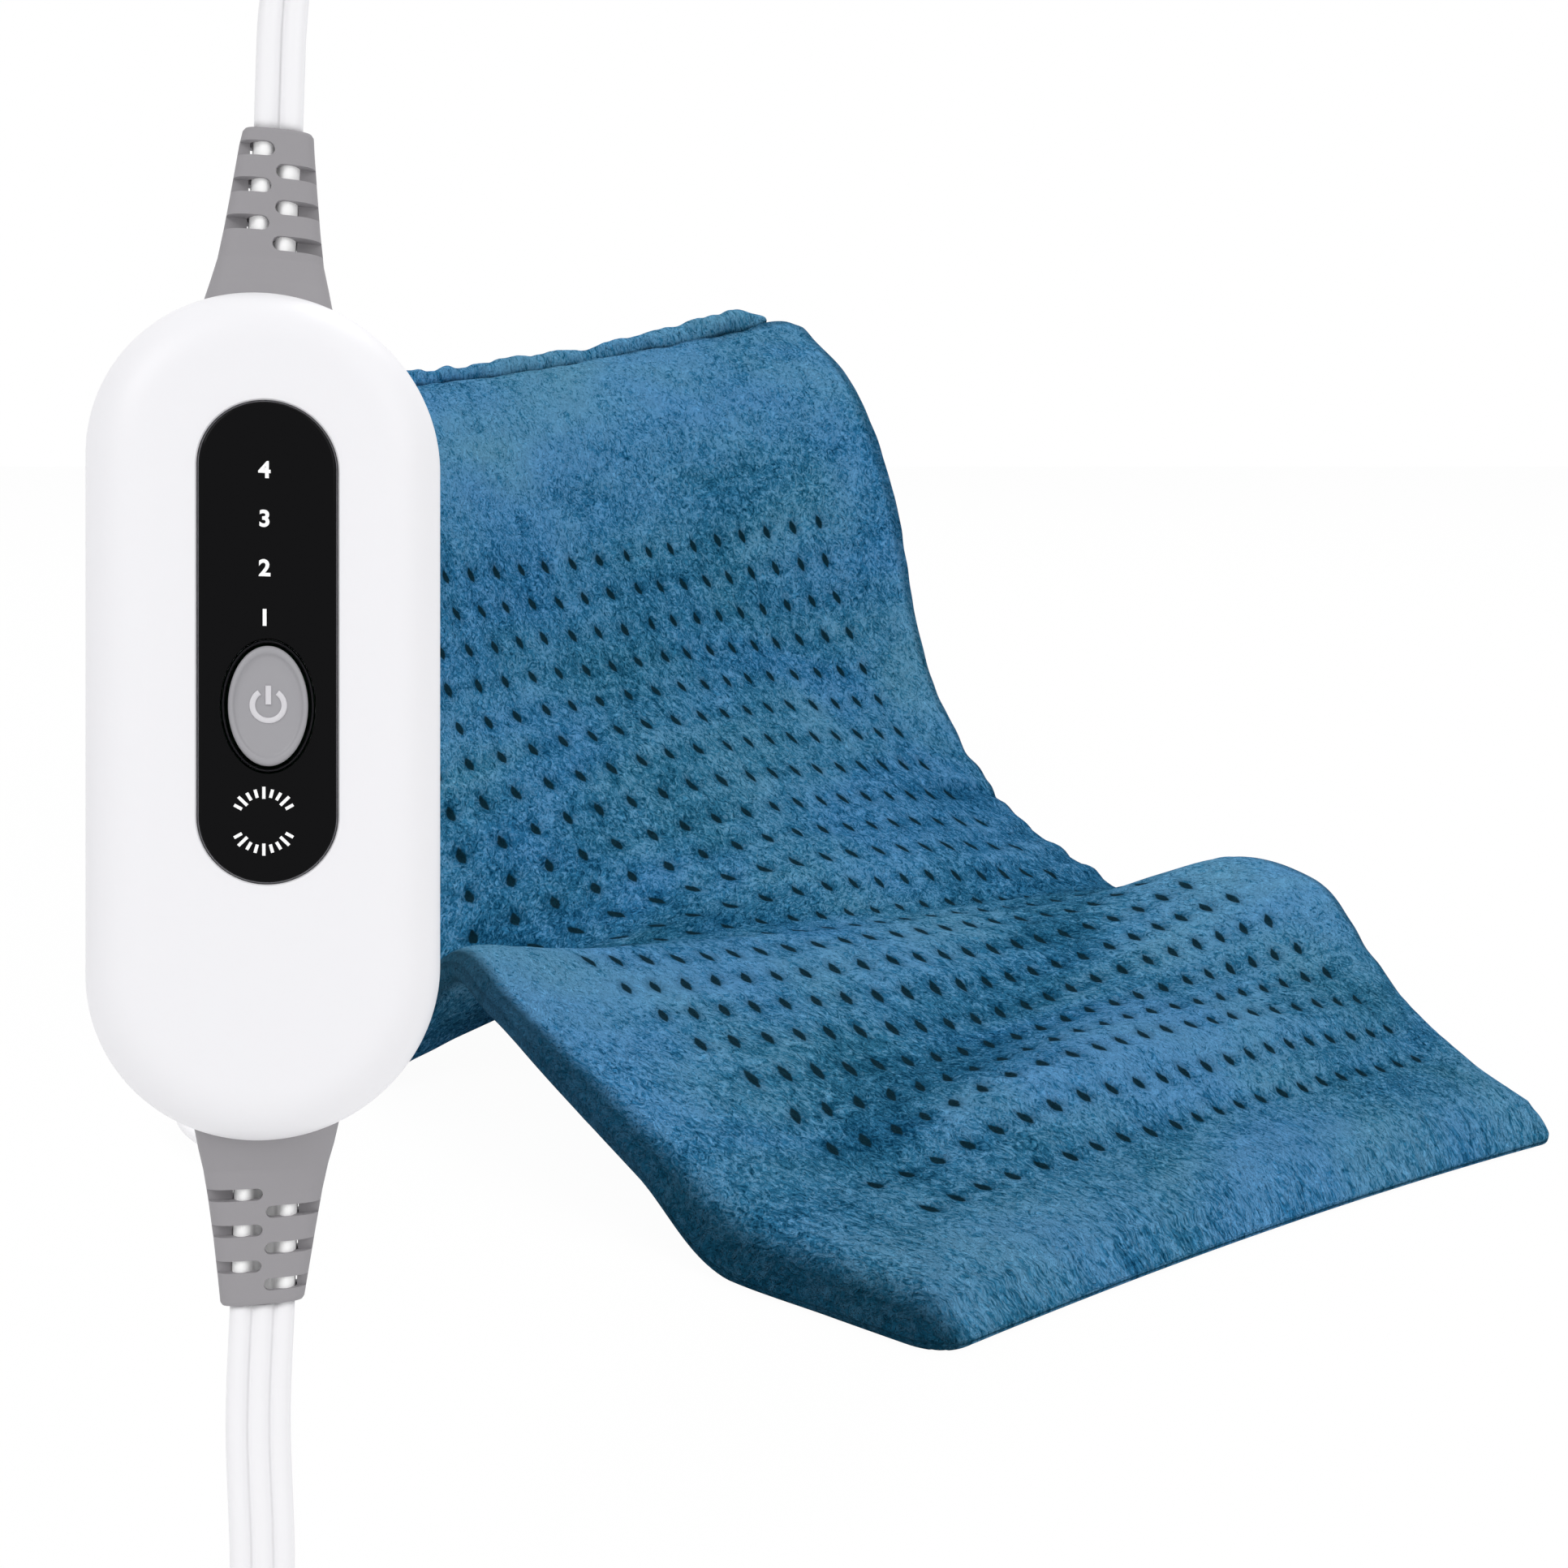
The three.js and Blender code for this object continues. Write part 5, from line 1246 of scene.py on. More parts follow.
@dataclass(frozen=True)
class Hem:
    """The gathered roll along the pad's back edge: an oval section whose size swells with the gathers.

    Args:
        gather, slow, lean: size and seed of the waves in its surface, its height and its thickness.
        full, gather_swing: its plain swell and what the gathers add.
        end_power, end_least: how square its ends are, and their least size squared.
        fold: the three numbers of the mark first - second cos(a)^third, which is painted shade in the fold
            through the pad's rim shade.
    """

    surface: PadSurface = field(default_factory=PadSurface)
    steps: int = 520
    sides: int = 32
    ends: Pair = (0.004, 0.962)
    gather: tuple[float, int] = (2.2 * MM, 8)
    slow: tuple[float, int] = (4.4 * MM, 9)
    lean: tuple[float, int] = (5 * MM, 10)
    gather_length: float = 40 * MM
    half_height: float = 5.4 * MM
    half_thick: float = 6.2 * MM
    height_swing: float = 1.0 * MM
    thick_swing: float = 0.7 * MM
    back: float = 3.8 * MM
    back_swing: float = 0.5 * MM
    up: float = 1.3 * MM
    up_swing: float = 0.8 * MM
    full: float = 0.94
    gather_swing: float = 0.14
    end_power: float = 22
    end_least: float = 0.02
    bulge: float = 0.3
    bulge_place: float = 0.9
    bulge_width: float = 0.07
    paint_radius: float = 4 * MM
    paint_start: float = -60 * MM
    tone: float = 0.45
    tone_swing: float = 0.35
    fold: tuple[float, float, float] = (1.15, 1.1, 9)
    fold_span: Pair = (0.12, 0.85)

    def line_noise(self, waves: tuple[float, int]) -> Array:
        """Random waves along the hem, as one column."""
        return soft_noise((self.steps, 2), (PAD_WIDTH, 1.0), *waves)[:, :1]

    def build(self) -> None:
        """Builds the roll.

        Its point at an angle a is centre + down h cos a + normal t sin a, with h and t the half height and
        half thickness times the swell. Near its ends the swell falls as sqrt(1 - |2 m - 1|^power) of its
        share m.
        """
        share = np.linspace(*self.ends, self.steps)
        point, normal, down, _ = self.surface.frames(share, np.zeros(self.steps))
        gathers = soft_noise((self.steps, self.sides), (PAD_WIDTH, self.gather_length), *self.gather)
        slow, lean = self.line_noise(self.slow), self.line_noise(self.lean)
        angle = turn_round(self.sides)[None, :]
        middle = ramp(share, *self.ends)[:, None]
        ends = np.sqrt(np.clip(1 - (np.abs(middle - 0.5) / 0.501) ** self.end_power, self.end_least, 1))
        bulge = 1 + self.bulge * bell(share[:, None] - self.bulge_place, self.bulge_width)
        swell = (self.full + self.gather_swing * gathers) * ends * bulge
        high = (self.half_height + self.height_swing * slow) * swell * np.cos(angle)
        thick = (self.half_thick + self.thick_swing * lean) * swell * np.sin(angle)
        centre = point - down * (self.back + self.back_swing * slow)
        centre = centre + normal * (self.up + self.up_swing * lean)
        ring = centre[:, None] + down[:, None] * high[..., None] + normal[:, None] * thick[..., None]
        made = rings_mesh("hem_roll", ring, Coat.PLUSH)
        across, along = np.meshgrid(share * PAD_WIDTH, angle[0] * self.paint_radius, indexing="ij")
        none = np.zeros(across.shape)
        start, depth, power = self.fold
        # Painted shade in the fold where the roll meets the pad.
        fold = none + np.clip(start - depth * np.cos(angle) ** power, *self.fold_span)
        # The roll's lift: painted light on it, more where its gathers swell and less where they sink.
        mark(made, "sheet", across, along + self.paint_start, self.tone + self.tone_swing * gathers)
        mark(made, "lattice", none, none, fold)
        settle(made, "pad_top_hem", slot="plush")


# The controller, in its own frame: x across, -y to the front, z along it, in millimetres

LEAN = math.radians(12.5)
TURN = math.radians(17.1)
CENTRE = np.array([-206.3, -186.9, 173.0])
POSE = np.array([
    [1, 0, 0], [0, math.cos(LEAN), math.sin(LEAN)], [0, -math.sin(LEAN), math.cos(LEAN)],
]) @ np.array([[math.cos(TURN), -math.sin(TURN), 0], [math.sin(TURN), math.cos(TURN), 0], [0, 0, 1]])
POINTS_ROUND = 240


def place(local: Array) -> Array:
    """Row-frame metres of points in the controller's own millimetres, in an array of any shape."""
    local = np.asarray(local, float)
    return ((local.reshape(-1, 3) @ POSE.T + CENTRE) * MM).reshape(local.shape)


def stadium(width: float, length: float, centre: float = 0.0) -> Array:
    """A stadium's points: a third of them on each round end, a sixth on each straight side.

    Args:
        width, length, centre: its size, and the height of its middle.
    Returns:
        Points in x and z.
    """
    n = POINTS_ROUND
    radius, straight = width / 2, (length - width) / 2
    arc = np.linspace(0, math.pi, n // 3, endpoint=False)
    side = np.linspace(-straight, straight, n // 6, endpoint=False)
    right = np.stack([np.full(n // 6, radius), side], -1)
    top = np.stack([radius * np.cos(arc), straight + radius * np.sin(arc)], -1)
    return np.vstack([right, top, -right, -top]) + [0, centre]


def oval(width: float, length: float, centre: float = 0.0, bend: float = math.radians(32)) -> Array:
    """An ellipse's points, shared out so that they face the same points of a stadium.

    Args:
        width, length, centre: its size, and the height of its middle.
        bend: the angle from its side where the stadium's straight part ends.
    Returns:
        Points in x and z.
    """
    n = POINTS_ROUND
    stops = (-bend, bend, math.pi - bend, math.pi + bend, 2 * math.pi - bend)
    counts = (n // 6, n // 3, n // 6, n // 3)
    angle = np.concatenate([
        np.linspace(start, end, count, endpoint=False) for start, end, count in zip(stops, stops[1:], counts)
    ])
    return np.stack([width / 2 * np.cos(angle), length / 2 * np.sin(angle)], -1) + [0, centre]


def soft_box(width: float, length: float, centre: float = 0.0, power: float = 14) -> Array:
    """A rectangle's points with eased corners, |2x/w|^power + |2z/l|^power = 1, shared out like a stadium's.

    Args:
        width, length, centre: its size, and the height of its middle.
        power: how square it is.
    Returns:
        Points in x and z.
    """
    points = stadium(width, length)
    size = (np.abs(points / [width / 2, length / 2]) ** power).sum(1) ** (1 / power)
    return points / size[:, None] + [0, centre]


def at_depth(outline: Array, y: float) -> Array:
    """An outline in x and z set at a depth y."""
    return np.stack([outline[:, 0], np.full(len(outline), y), outline[:, 1]], -1)


@dataclass(frozen=True)
class Panel:
    """The gloss panel in the controller's face, and the dark collar in it.

    Args:
        front, seat, back: depths of its face, of where its eased rim starts and of its back.
        highlight_swing, highlight_depth, highlight_middle: half width, half depth and depth of the grey ring
        painted round it as its bevel's highlight.
        collar: width and length of the collar's middle line. The next three are its own such sizes.
    """

    width: float = 18.7
    length: float = 67.9
    up: float = 10.25
    front: float = -12.4
    seat: float = -11.9
    back: float = -10.7
    rim: float = 0.5
    bevel: float = 1.1
    highlight_swing: float = 0.09
    highlight_depth: float = 0.1
    highlight_middle: float = -12.02
    collar: Pair = (12.1, 18.2)
    collar_swing: float = 0.42
    collar_depth: float = 0.95
    collar_middle: float = -11.8

    def outline(self, grow: float = 0.0) -> Array:
        """The panel's outline, grown by a width."""
        return stadium(self.width + grow, self.length + grow, self.up)

    def rings(self, hole: Array) -> Array:
        """Rings from the back over the eased rim, a quarter round of the rim's radius, to the button's hole.

        Args:
            hole: the hole's outline.
        Returns:
            The rings.
        """
        rings = [at_depth(self.outline(), self.back), at_depth(self.outline(), self.seat)]
        for angle in np.linspace(0.2, math.pi / 2, 5):
            inset = self.rim * (1 - math.cos(angle))
            rings.append(at_depth(self.outline(-2 * inset), self.seat - self.rim * math.sin(angle)))
        face = self.outline(-self.bevel)
        rings += [at_depth(face * (1 - t) + hole * t, self.front) for t in np.linspace(0, 1, 7)[1:]]
        return np.array(rings + [at_depth(hole, self.back)])

    def edge(self) -> Array:
        """Rings of the thin grey ring painted round the panel as its bevel's highlight: an oval section swept
        round the outline.
        """
        rings = []
        for angle in turn_round(10):
            wide = self.highlight_swing * math.cos(angle)
            rings.append(at_depth(self.outline(wide), self.highlight_middle - self.highlight_depth * math.sin(angle)))
        return np.array(rings)

    def collar_rings(self, up: float) -> Array:
        """Rings of the collar round the button: an oval section swept round an ellipse at a height."""
        rings = []
        for angle in turn_round(16):
            wide, long = (size + self.collar_swing * math.cos(angle) for size in self.collar)
            depth = self.collar_middle - self.collar_depth * math.sin(angle)
            rings.append(at_depth(oval(wide, long, up), depth))
        return np.array(rings)


@dataclass(frozen=True)
class PowerButton:
    """The oval button with a raised rim, a dished face and the power sign.

    Args:
        back, face: share of its outline and depth of each ring, from its stem to its flange and over its rim.
        sign_line, sign_rise: half width and half height of the sign's line.
        sign_gap: half of the ring's opening at the top, in radians.
        bar: lower and upper end of the sign's bar over the button's middle.
    """

    width: float = 10.8
    length: float = 16.9
    up: float = 1.2
    back: tuple[Pair, ...] = ((0.03, -5.5), (0.3, -5.5), (0.32, -8.5), (0.98, -8.6))
    face: tuple[Pair, ...] = (
        (1.0, -9.4), (1.0, -12.9), (0.985, -13.25), (0.955, -13.46), (0.92, -13.5), (0.885, -13.46),
        (0.86, -13.3), (0.84, -13.12), (0.8, -13.02), (0.6, -12.96), (0.3, -12.92), (0.03, -12.9),
    )
    sign_radius: float = 2.15
    sign_line: float = 0.4
    sign_rise: float = 0.2
    sign_depth: float = -12.98
    sign_up: float = 0.1
    sign_gap: float = 0.6
    bar: Pair = (0.2, 2.85)

    def rings(self) -> Array:
        """The button's rings: its outline times each ring's share, at each ring's depth."""
        return np.array([
            at_depth(oval(self.width * share, self.length * share, self.up), y)
            for share, y in self.back + self.face
        ])

    def sign_lines(self) -> tuple[tuple[str, Array], ...]:
        """The names and middle lines of the sign's ring and bar."""
        angle = np.linspace(math.pi / 2 + self.sign_gap, 2.5 * math.pi - self.sign_gap, 60)
        ring = self.sign_radius * np.stack([np.cos(angle), np.sin(angle)], -1) + [0, self.up + self.sign_up]
        high = self.up + np.linspace(*self.bar, 8)
        bar = np.stack([np.zeros(len(high)), high], -1)
        return ("sign_ring", at_depth(ring, self.sign_depth)), ("sign_bar", at_depth(bar, self.sign_depth))

    def sign_rings(self, line: Array) -> Array:
        """An oval section carried along a line on the button's face: line + side w cos a + out h sin a.

        Args:
            line: the middle line's points.
        Returns:
            The rings.
        """
        turn = turn_round(12)
        tangent = unit(np.gradient(line, axis=0))
        out = np.broadcast_to([0.0, -1.0, 0.0], tangent.shape)
        side = unit(np.cross(tangent, out))
        wide, high = self.sign_line * np.cos(turn)[:, None], self.sign_rise * np.sin(turn)[:, None]
        return line[:, None] + side[:, None] * wide + out[:, None] * high


@dataclass(frozen=True)
class Print:
    """The white print on the panel: a numeral for each level and a ring of ticks for the timer.

    Args:
        levels: each numeral and its height.
        aside, proud: how far the numerals stand left of the panel's middle, and out of its face.
        ring_aside, ring_up: where the ring's middle lies.
        long_every, blank_about: one tick in so many is long, and so many are left out from each side on.
    """

    levels: tuple[tuple[str, float], ...] = (("4", 34.37), ("3", 27.5), ("2", 20.54), ("1", 13.56))
    size: float = 3.2
    thicken: float = 0.1
    extrude: float = 0.03
    aside: float = 0.5
    proud: float = 0.035
    ticks: int = 24
    tick_radius: float = 4.0
    ring_aside: float = 0.6
    ring_up: float = -15.0
    long_every: int = 3
    blank_about: int = 1
    long_tick: float = 0.85
    short_tick: float = 0.6
    tick_rise: float = 0.03
    tick_width: float = 0.22

    def numeral(self, text: str, up: float, face: float) -> Piece:
        """One level's numeral as a thin mesh on the panel.

        Args:
            text, up, face: the numeral, the height of its middle and the depth of the panel's face.
        Returns:
            The piece.
        """
        curve = bpy.data.curves.new(f"level_text_{text}", "FONT")
        curve.body = text
        curve.size = self.size
        curve.offset = self.thicken
        curve.extrude = self.extrude
        curve.align_x, curve.align_y = "CENTER", "CENTER"
        source = bpy.data.objects.new(f"level_source_{text}", curve)
        bpy.context.scene.collection.objects.link(source)
        mesh = settled_mesh(source)
        bpy.data.objects.remove(source)
        flat = np.empty(len(mesh.vertices) * 3)
        mesh.vertices.foreach_get("co", flat)
        x, z, y = flat.reshape(-1, 3).T
        local = np.stack([x - self.aside, face - self.proud - y, z + up], -1)
        mesh.vertices.foreach_set("co", place(local).ravel().astype(np.float32))
        made = bpy.data.objects.new(f"numeral_{text}", mesh)
        made.data.materials.clear()
        made.data.materials.append(PAINT.get(Coat.PRINT))
        bpy.context.scene.collection.objects.link(made)
        return made

    def timer_ring(self, face: float) -> Piece:
        """Small boxes that point outward round a circle, in an upper and a lower arc.

        Args:
            face: depth of the panel's face.
        Returns:
            The piece.
        """
        side = [(-1, -1), (1, -1), (1, 1), (-1, 1)]
        corner = np.array([(x, y, z) for y in (-1, 1) for x, z in side])
        quads = np.array([(0, 3, 2, 1), (4, 5, 6, 7), (0, 1, 5, 4), (1, 2, 6, 5), (2, 3, 7, 6), (3, 0, 4, 7)])
        middle = np.array([-self.ring_aside, face - self.tick_rise, self.ring_up])
        half_ring = self.ticks // 2
        boxes = []
        for number, angle in enumerate(turn_round(self.ticks)):
            if min(number % half_ring, -number % half_ring) <= self.blank_about:
                continue
            reach = self.short_tick if number % self.long_every else self.long_tick
            across, rise, width = (corner * [reach, self.tick_rise, self.tick_width]).T[..., None]
            out = np.array([math.cos(angle), 0, math.sin(angle)])
            turn = np.array([-math.sin(angle), 0, math.cos(angle)])
            boxes.append(middle + out * (self.tick_radius + across) + turn * width - rise * [0, 1, 0])
        faces = [quads + len(corner) * number for number in range(len(boxes))]
        made = add_mesh("timer_ring", place(np.vstack(boxes)), np.vstack(faces), Coat.PRINT, sharp=30)
        return face_outward(made)


@dataclass(frozen=True)
class Controller:
    """The white hand piece with its panel, button and print.

    Args:
        parting, parting_gap: depth of the line where the shells meet, and the gap there.
        inner_narrower: how much narrower its inside is at the face.
    """

    panel: Panel = Panel()
    button: PowerButton = PowerButton()
    lettering: Print = Print()
    width: float = 49.4
    length: float = 123.1
    half_depth: float = 12.0
    rounding: float = 8.5
    wall: float = 2.2
    parting: float = 1.5
    parting_gap: float = 0.3
    inner_reach: float = 8.0
    inner_narrower: float = 14.0
    hole: Pair = (13.0, 19.1)
    pocket_slack: float = 0.5
    pocket_bevel: float = 0.9
    pocket_floor: float = -10.4
    pocket_edge: float = -11.8
    inner_face: float = -9.8
    plate: Pair = (30.4, 46.4)
    plate_up: float = -4.0
    plate_seat: float = 11.6
    rear_inner_face: float = 9.8

    def outline(self, narrower: float = 0.0) -> Array:
        """The body's outline, narrowed by a width."""
        return stadium(self.width - narrower, self.length - narrower)

    def shell_rings(self, sign: int, inner: list[Array]) -> Array:
        """Rings of a half shell: from its face's inner edge over the quarter round to the parting and inside.

        Args:
            sign: -1 for the front shell, 1 for the rear.
            inner: the rings that come first.
        Returns:
            All its rings.
        """
        face = sign * self.half_depth
        start, flat = inner[-1][:, [0, 2]], self.outline(2 * self.rounding)
        rings = [at_depth(start * (1 - t) + flat * t, face) for t in np.linspace(0, 1, 10)[1:-1]]
        for angle in np.linspace(0, math.pi / 2, 15):
            inset, drop = (self.rounding * (1 - part) for part in (math.sin(angle), math.cos(angle)))
            rings.append(at_depth(self.outline(2 * inset), face - sign * drop))
        part = self.parting + (0 if sign < 0 else self.parting_gap)
        inside = self.outline(2 * self.wall)
        rings += [at_depth(self.outline(), part), at_depth(inside, part)]
        rings.append(at_depth(inside, face - sign * self.inner_reach))
        rings.append(at_depth(self.outline(self.inner_narrower), face - sign * self.wall))
        return np.array(inner + rings)

    def add(
        self, name: str, rings: Array, coat: Coat, *nodes: str, slot: str, body: str = "root",
        wrap: bool = True, sharp: float = 35.0,
    ) -> None:
        """Adds a piece from rings in the controller's frame, with the frame nodes that it replaces."""
        settle(rings_mesh(name, place(rings), coat, wrap, sharp), *nodes, slot=slot, body=body)

    def build(self) -> None:
        """Builds all the pieces of the controller."""
        panel, button = self.panel, self.button
        hole = oval(*self.hole, button.up)
        pocket = panel.outline(self.pocket_slack)
        front = [
            at_depth(hole, self.inner_face), at_depth(hole, self.pocket_floor),
            at_depth(pocket, self.pocket_floor), at_depth(pocket, self.pocket_edge),
            at_depth(panel.outline(self.pocket_bevel), -self.half_depth),
        ]
        self.add("shell_front", self.shell_rings(-1, front), Coat.SHELL, "front_housing", slot="white_shell")
        recess = soft_box(*self.plate, self.plate_up)
        rear = [at_depth(recess, y) for y in (self.rear_inner_face, self.plate_seat, self.half_depth)]
        self.add("shell_rear", self.shell_rings(1, rear), Coat.SHELL, "rear_housing", slot="white_shell")
        self.add("gloss_panel", panel.rings(hole), Coat.GLOSS, "display_panel", slot="panel_gloss")
        # The grey ring painted round the panel as its bevel's highlight.
        self.add("panel_edge", panel.edge(), Coat.EDGE, slot="panel_gloss", sharp=60)
        self.add("button_groove", panel.collar_rings(button.up), Coat.TRIM, "button_collar", slot="dark_trim")
        moving = {"slot": "button_grey", "body": "button", "wrap": False}
        self.add("oval_button", button.rings(), Coat.BUTTON, "power_button", sharp=50, **moving)
        for name, line in button.sign_lines():
            self.add(name, button.sign_rings(line), Coat.SIGN, **moving)
        for text, up in self.lettering.levels:
            settle(self.lettering.numeral(text, up, panel.front))
        settle(self.lettering.timer_ring(panel.front))


# The leads


@dataclass(frozen=True)
class FlatLead:
    """A flat lead's section: round cores side by side, joined by a thin web. Sizes are millimetres.

    Args:
        web_share: the web's half height as a share of a core's radius.
        spread_share: how far the points draw towards the edges, 0 for even steps.
        overlap: how far neighbouring cores grow into each other, 1 where they only touch.
    """

    width: float
    thickness: float
    cores: int
    count: int = 44
    web_share: float = 0.3
    spread_share: float = 0.35
    overlap: float = 1.06

    def section(self) -> Array:
        """Points round the section.

        The half height is the greatest of sqrt(r^2 - (x - c)^2) over the cores' centres c, and of the web
        between the outer ones. Where the cores' spacing is less than their width, x - c is stretched.
        """
        half, r = self.width / 2, self.thickness / 2
        centres = np.linspace(r - half, half - r, self.cores)
        even = np.linspace(half, -half, self.count // 2, endpoint=False)
        even = np.concatenate([even, -even])
        bent = half * np.sin(even / half * math.pi / 2)
        x = bent * self.spread_share + even * (1 - self.spread_share)
        narrow = min(1.0, self.overlap * (centres[1] - centres[0]) / (2 * r))
        off = x[:, None] - centres
        off = np.where(np.abs(x[:, None]) > np.abs(centres), off, off / narrow)
        lobes = np.sqrt(np.clip(r**2 - off**2, 0, None)).max(1)
        web = np.where(np.abs(x) < centres[-1], self.web_share * r, 0)
        return np.stack([x, np.repeat([1, -1], self.count // 2) * np.maximum(lobes, web)], -1)

    def along(self, path: Array, wide: Array) -> Array:
        """Rings of the section along a path: path + across x + thin y, with thin square to both.

        Args:
            path, wide: points, and the wide way at each of them.
        Returns:
            The rings.
        """
        section = self.section()
        tangent = unit(np.gradient(path, axis=0))
        across = unit(wide - tangent * np.einsum("ij,ij->i", wide, tangent)[:, None])
        thin = np.cross(tangent, across)
        return path[:, None] + across[:, None] * section[None, :, :1] + thin[:, None] * section[None, :, 1:]


MAINS_LEAD = FlatLead(7, 3.5, 2, 40)
MAINS_LEAD_END = FlatLead(7, 3.5, 2)
PAD_LEAD = FlatLead(9.2, 3.5, 3, 56)
PAD_LEAD_END = FlatLead(9.2, 3.0, 2)


def facing(share: Array, listed: Sequence[tuple[float, Sequence[float]]]) -> Array:
    """The wide direction at shares of a lead's length, turning evenly between the listed ones.

    Args:
        share, listed: shares of the length, and shares with the direction there.
    Returns:
        One direction for each share.
    """
    places, ways = zip(*listed)
    ways = unit(np.array(ways, float))
    return unit(np.stack([np.interp(share, places, ways[:, k]) for k in range(3)], -1))


@dataclass(frozen=True)
class StrainRelief:
    """A grey sleeve with slots that alternate from side to side, and the lead's end inside it.

    Lengths are millimetres in the controller's frame, and heights go from its centre outward.

    Args:
        node, lead_node: the frame nodes that the sleeve and the lead's end replace.
        levels: height, width, depth and drift of the sleeve from its root to its tip.
        left, right: height and inner end of the slots that open to each side.
        bore_ends, slot_depths, slot_reach: how far the cutting tools reach.
        lead_heights: of the lead's end from within the shell, up to where it drifts.
        skin: how much less deep than the sleeve the lead's end is where it fills the slots.
    """

    node: str
    lead_node: str
    lead: FlatLead
    down: bool
    levels: tuple[tuple[float, float, float, float], ...]
    left: tuple[Pair, ...]
    right: tuple[Pair, ...]
    slot: float
    bore: Pair
    bore_ends: Pair = (50.0, 95.0)
    power: float = 0.62
    slot_depths: Pair = (-14.0, -0.7)
    slot_reach: float = 16.0
    lead_heights: tuple[float, float, float] = (46.7, 60.0, 74.0)
    skin: float = 1.0
    most_deeper: float = 2.2

    def placed(self, local: Array) -> Array:
        """Row-frame metres of local points, turned over for the lower end."""
        return place(local * [1, -1, -1] if self.down else local)

    def ring(self, width: float, depth: float, x: float, z: float, count: int = 96) -> Array:
        """A rounded oblong of a width and depth, with its middle at x and z."""
        outline = oblong(count, self.power) * [width / 2, depth / 2] + [x, 0]
        return np.column_stack([outline, np.full(count, z)])

    def cutter(self, x_end: float, side: int, z: float) -> Array:
        """Rings of a slot's tool: a bar with a half round at its inner end that opens past the outer edge.

        Args:
            x_end, side, z: where the slot ends inside, -1 to open to the left or 1 to the right, its height.
        Returns:
            The rings.
        """
        h = self.slot / 2
        angle = np.linspace(math.pi / 2, 1.5 * math.pi, 9)
        inner = h * np.stack([np.cos(angle) + 1, np.sin(angle)], -1)
        outline = np.vstack([inner, [(self.slot_reach, -h), (self.slot_reach, h)]]) * [side, 1] + [x_end, z]
        return np.array([at_depth(outline, y) for y in self.slot_depths])

    def tools(self, root: Pair, tip_x: float) -> list[Array]:
        """The rings of all the cutting tools: each slot in front and behind, and the bore.

        Args:
            root, tip_x: drift and height of the sleeve's root, and drift at its tip.
        Returns:
            The rings of each tool.
        """
        tools = []
        for side, slots in ((-1, self.left), (1, self.right)):
            for up, end in slots:
                tool = self.cutter(end, side, up)
                tools += [tool, tool * [1, -1, 1]]
        stops = ((0.0, self.bore_ends[0]), root, (tip_x, self.bore_ends[1]))
        return tools + [np.array([self.ring(*self.bore, x, up, 40) for x, up in stops])]

    def build(self) -> None:
        """Builds the sleeve, cuts its slots and bore, and puts the lead's end in it."""
        levels = np.array(self.levels)
        up = levels[:, 0]
        heights = np.unique(np.concatenate([np.linspace(up[0], up[-1], 40), up]))
        width, depth, drift = (np.interp(heights, up, levels[:, k]) for k in (1, 2, 3))
        rings = np.array([self.ring(*sizes) for sizes in zip(width, depth, drift, heights)])
        made = rings_mesh(f"{self.node}_sleeve", self.placed(rings), Coat.RELIEF)
        cuts = []
        for number, tool in enumerate(self.tools((drift[0], heights[0]), drift[-1])):
            cuts.append(rings_mesh(f"tool_{number}", self.placed(tool), Coat.RELIEF))
            modifier = made.modifiers.new("cut", "BOOLEAN")
            modifier.operation = "DIFFERENCE"
            modifier.solver = "EXACT"
            modifier.object = cuts[-1]
        mesh = settled_mesh(made)
        made.modifiers.clear()
        made.data = mesh
        mesh.shade_smooth()
        mesh.set_sharp_from_angle(angle=math.radians(35))
        for cut in cuts:
            bpy.data.objects.remove(cut)
        settle(made, self.node, slot="grey_relief")
        self.lead_end(drift, heights, depth)

    def lead_end(self, drift: Array, levels: Array, depths: Array) -> None:
        """The lead inside the sleeve, from within the shell to the tip, as deep as the sleeve in the slots.

        Args:
            drift, levels, depths: of the sleeve from its root to its tip.
        """
        start, still, half_way = self.lead_heights
        up = np.array([start, still, half_way, levels[-1]])
        x = np.array([0, 0, (drift[0] + drift[-1]) / 2, drift[-1]])
        heights = np.linspace(start, levels[-1], 30)
        path = np.stack([np.interp(heights, up, x), np.zeros(30), heights], -1)
        rings = self.lead.along(path, np.tile([1.0, 0, 0], (30, 1)))
        deeper = np.maximum((depths - self.skin) / self.lead.thickness, 1)
        deeper = np.interp(heights, levels, deeper, left=1.0)
        rings[..., 1] *= np.minimum(deeper, self.most_deeper)[:, None]
        # The lead's end takes the brighter print white, a painted lighter copy of the vinyl that lifts the
        # shade in the slots.
        made = rings_mesh(f"{self.lead_node}_tube", self.placed(rings), Coat.PRINT)
        settle(made, self.lead_node, slot="white_vinyl")


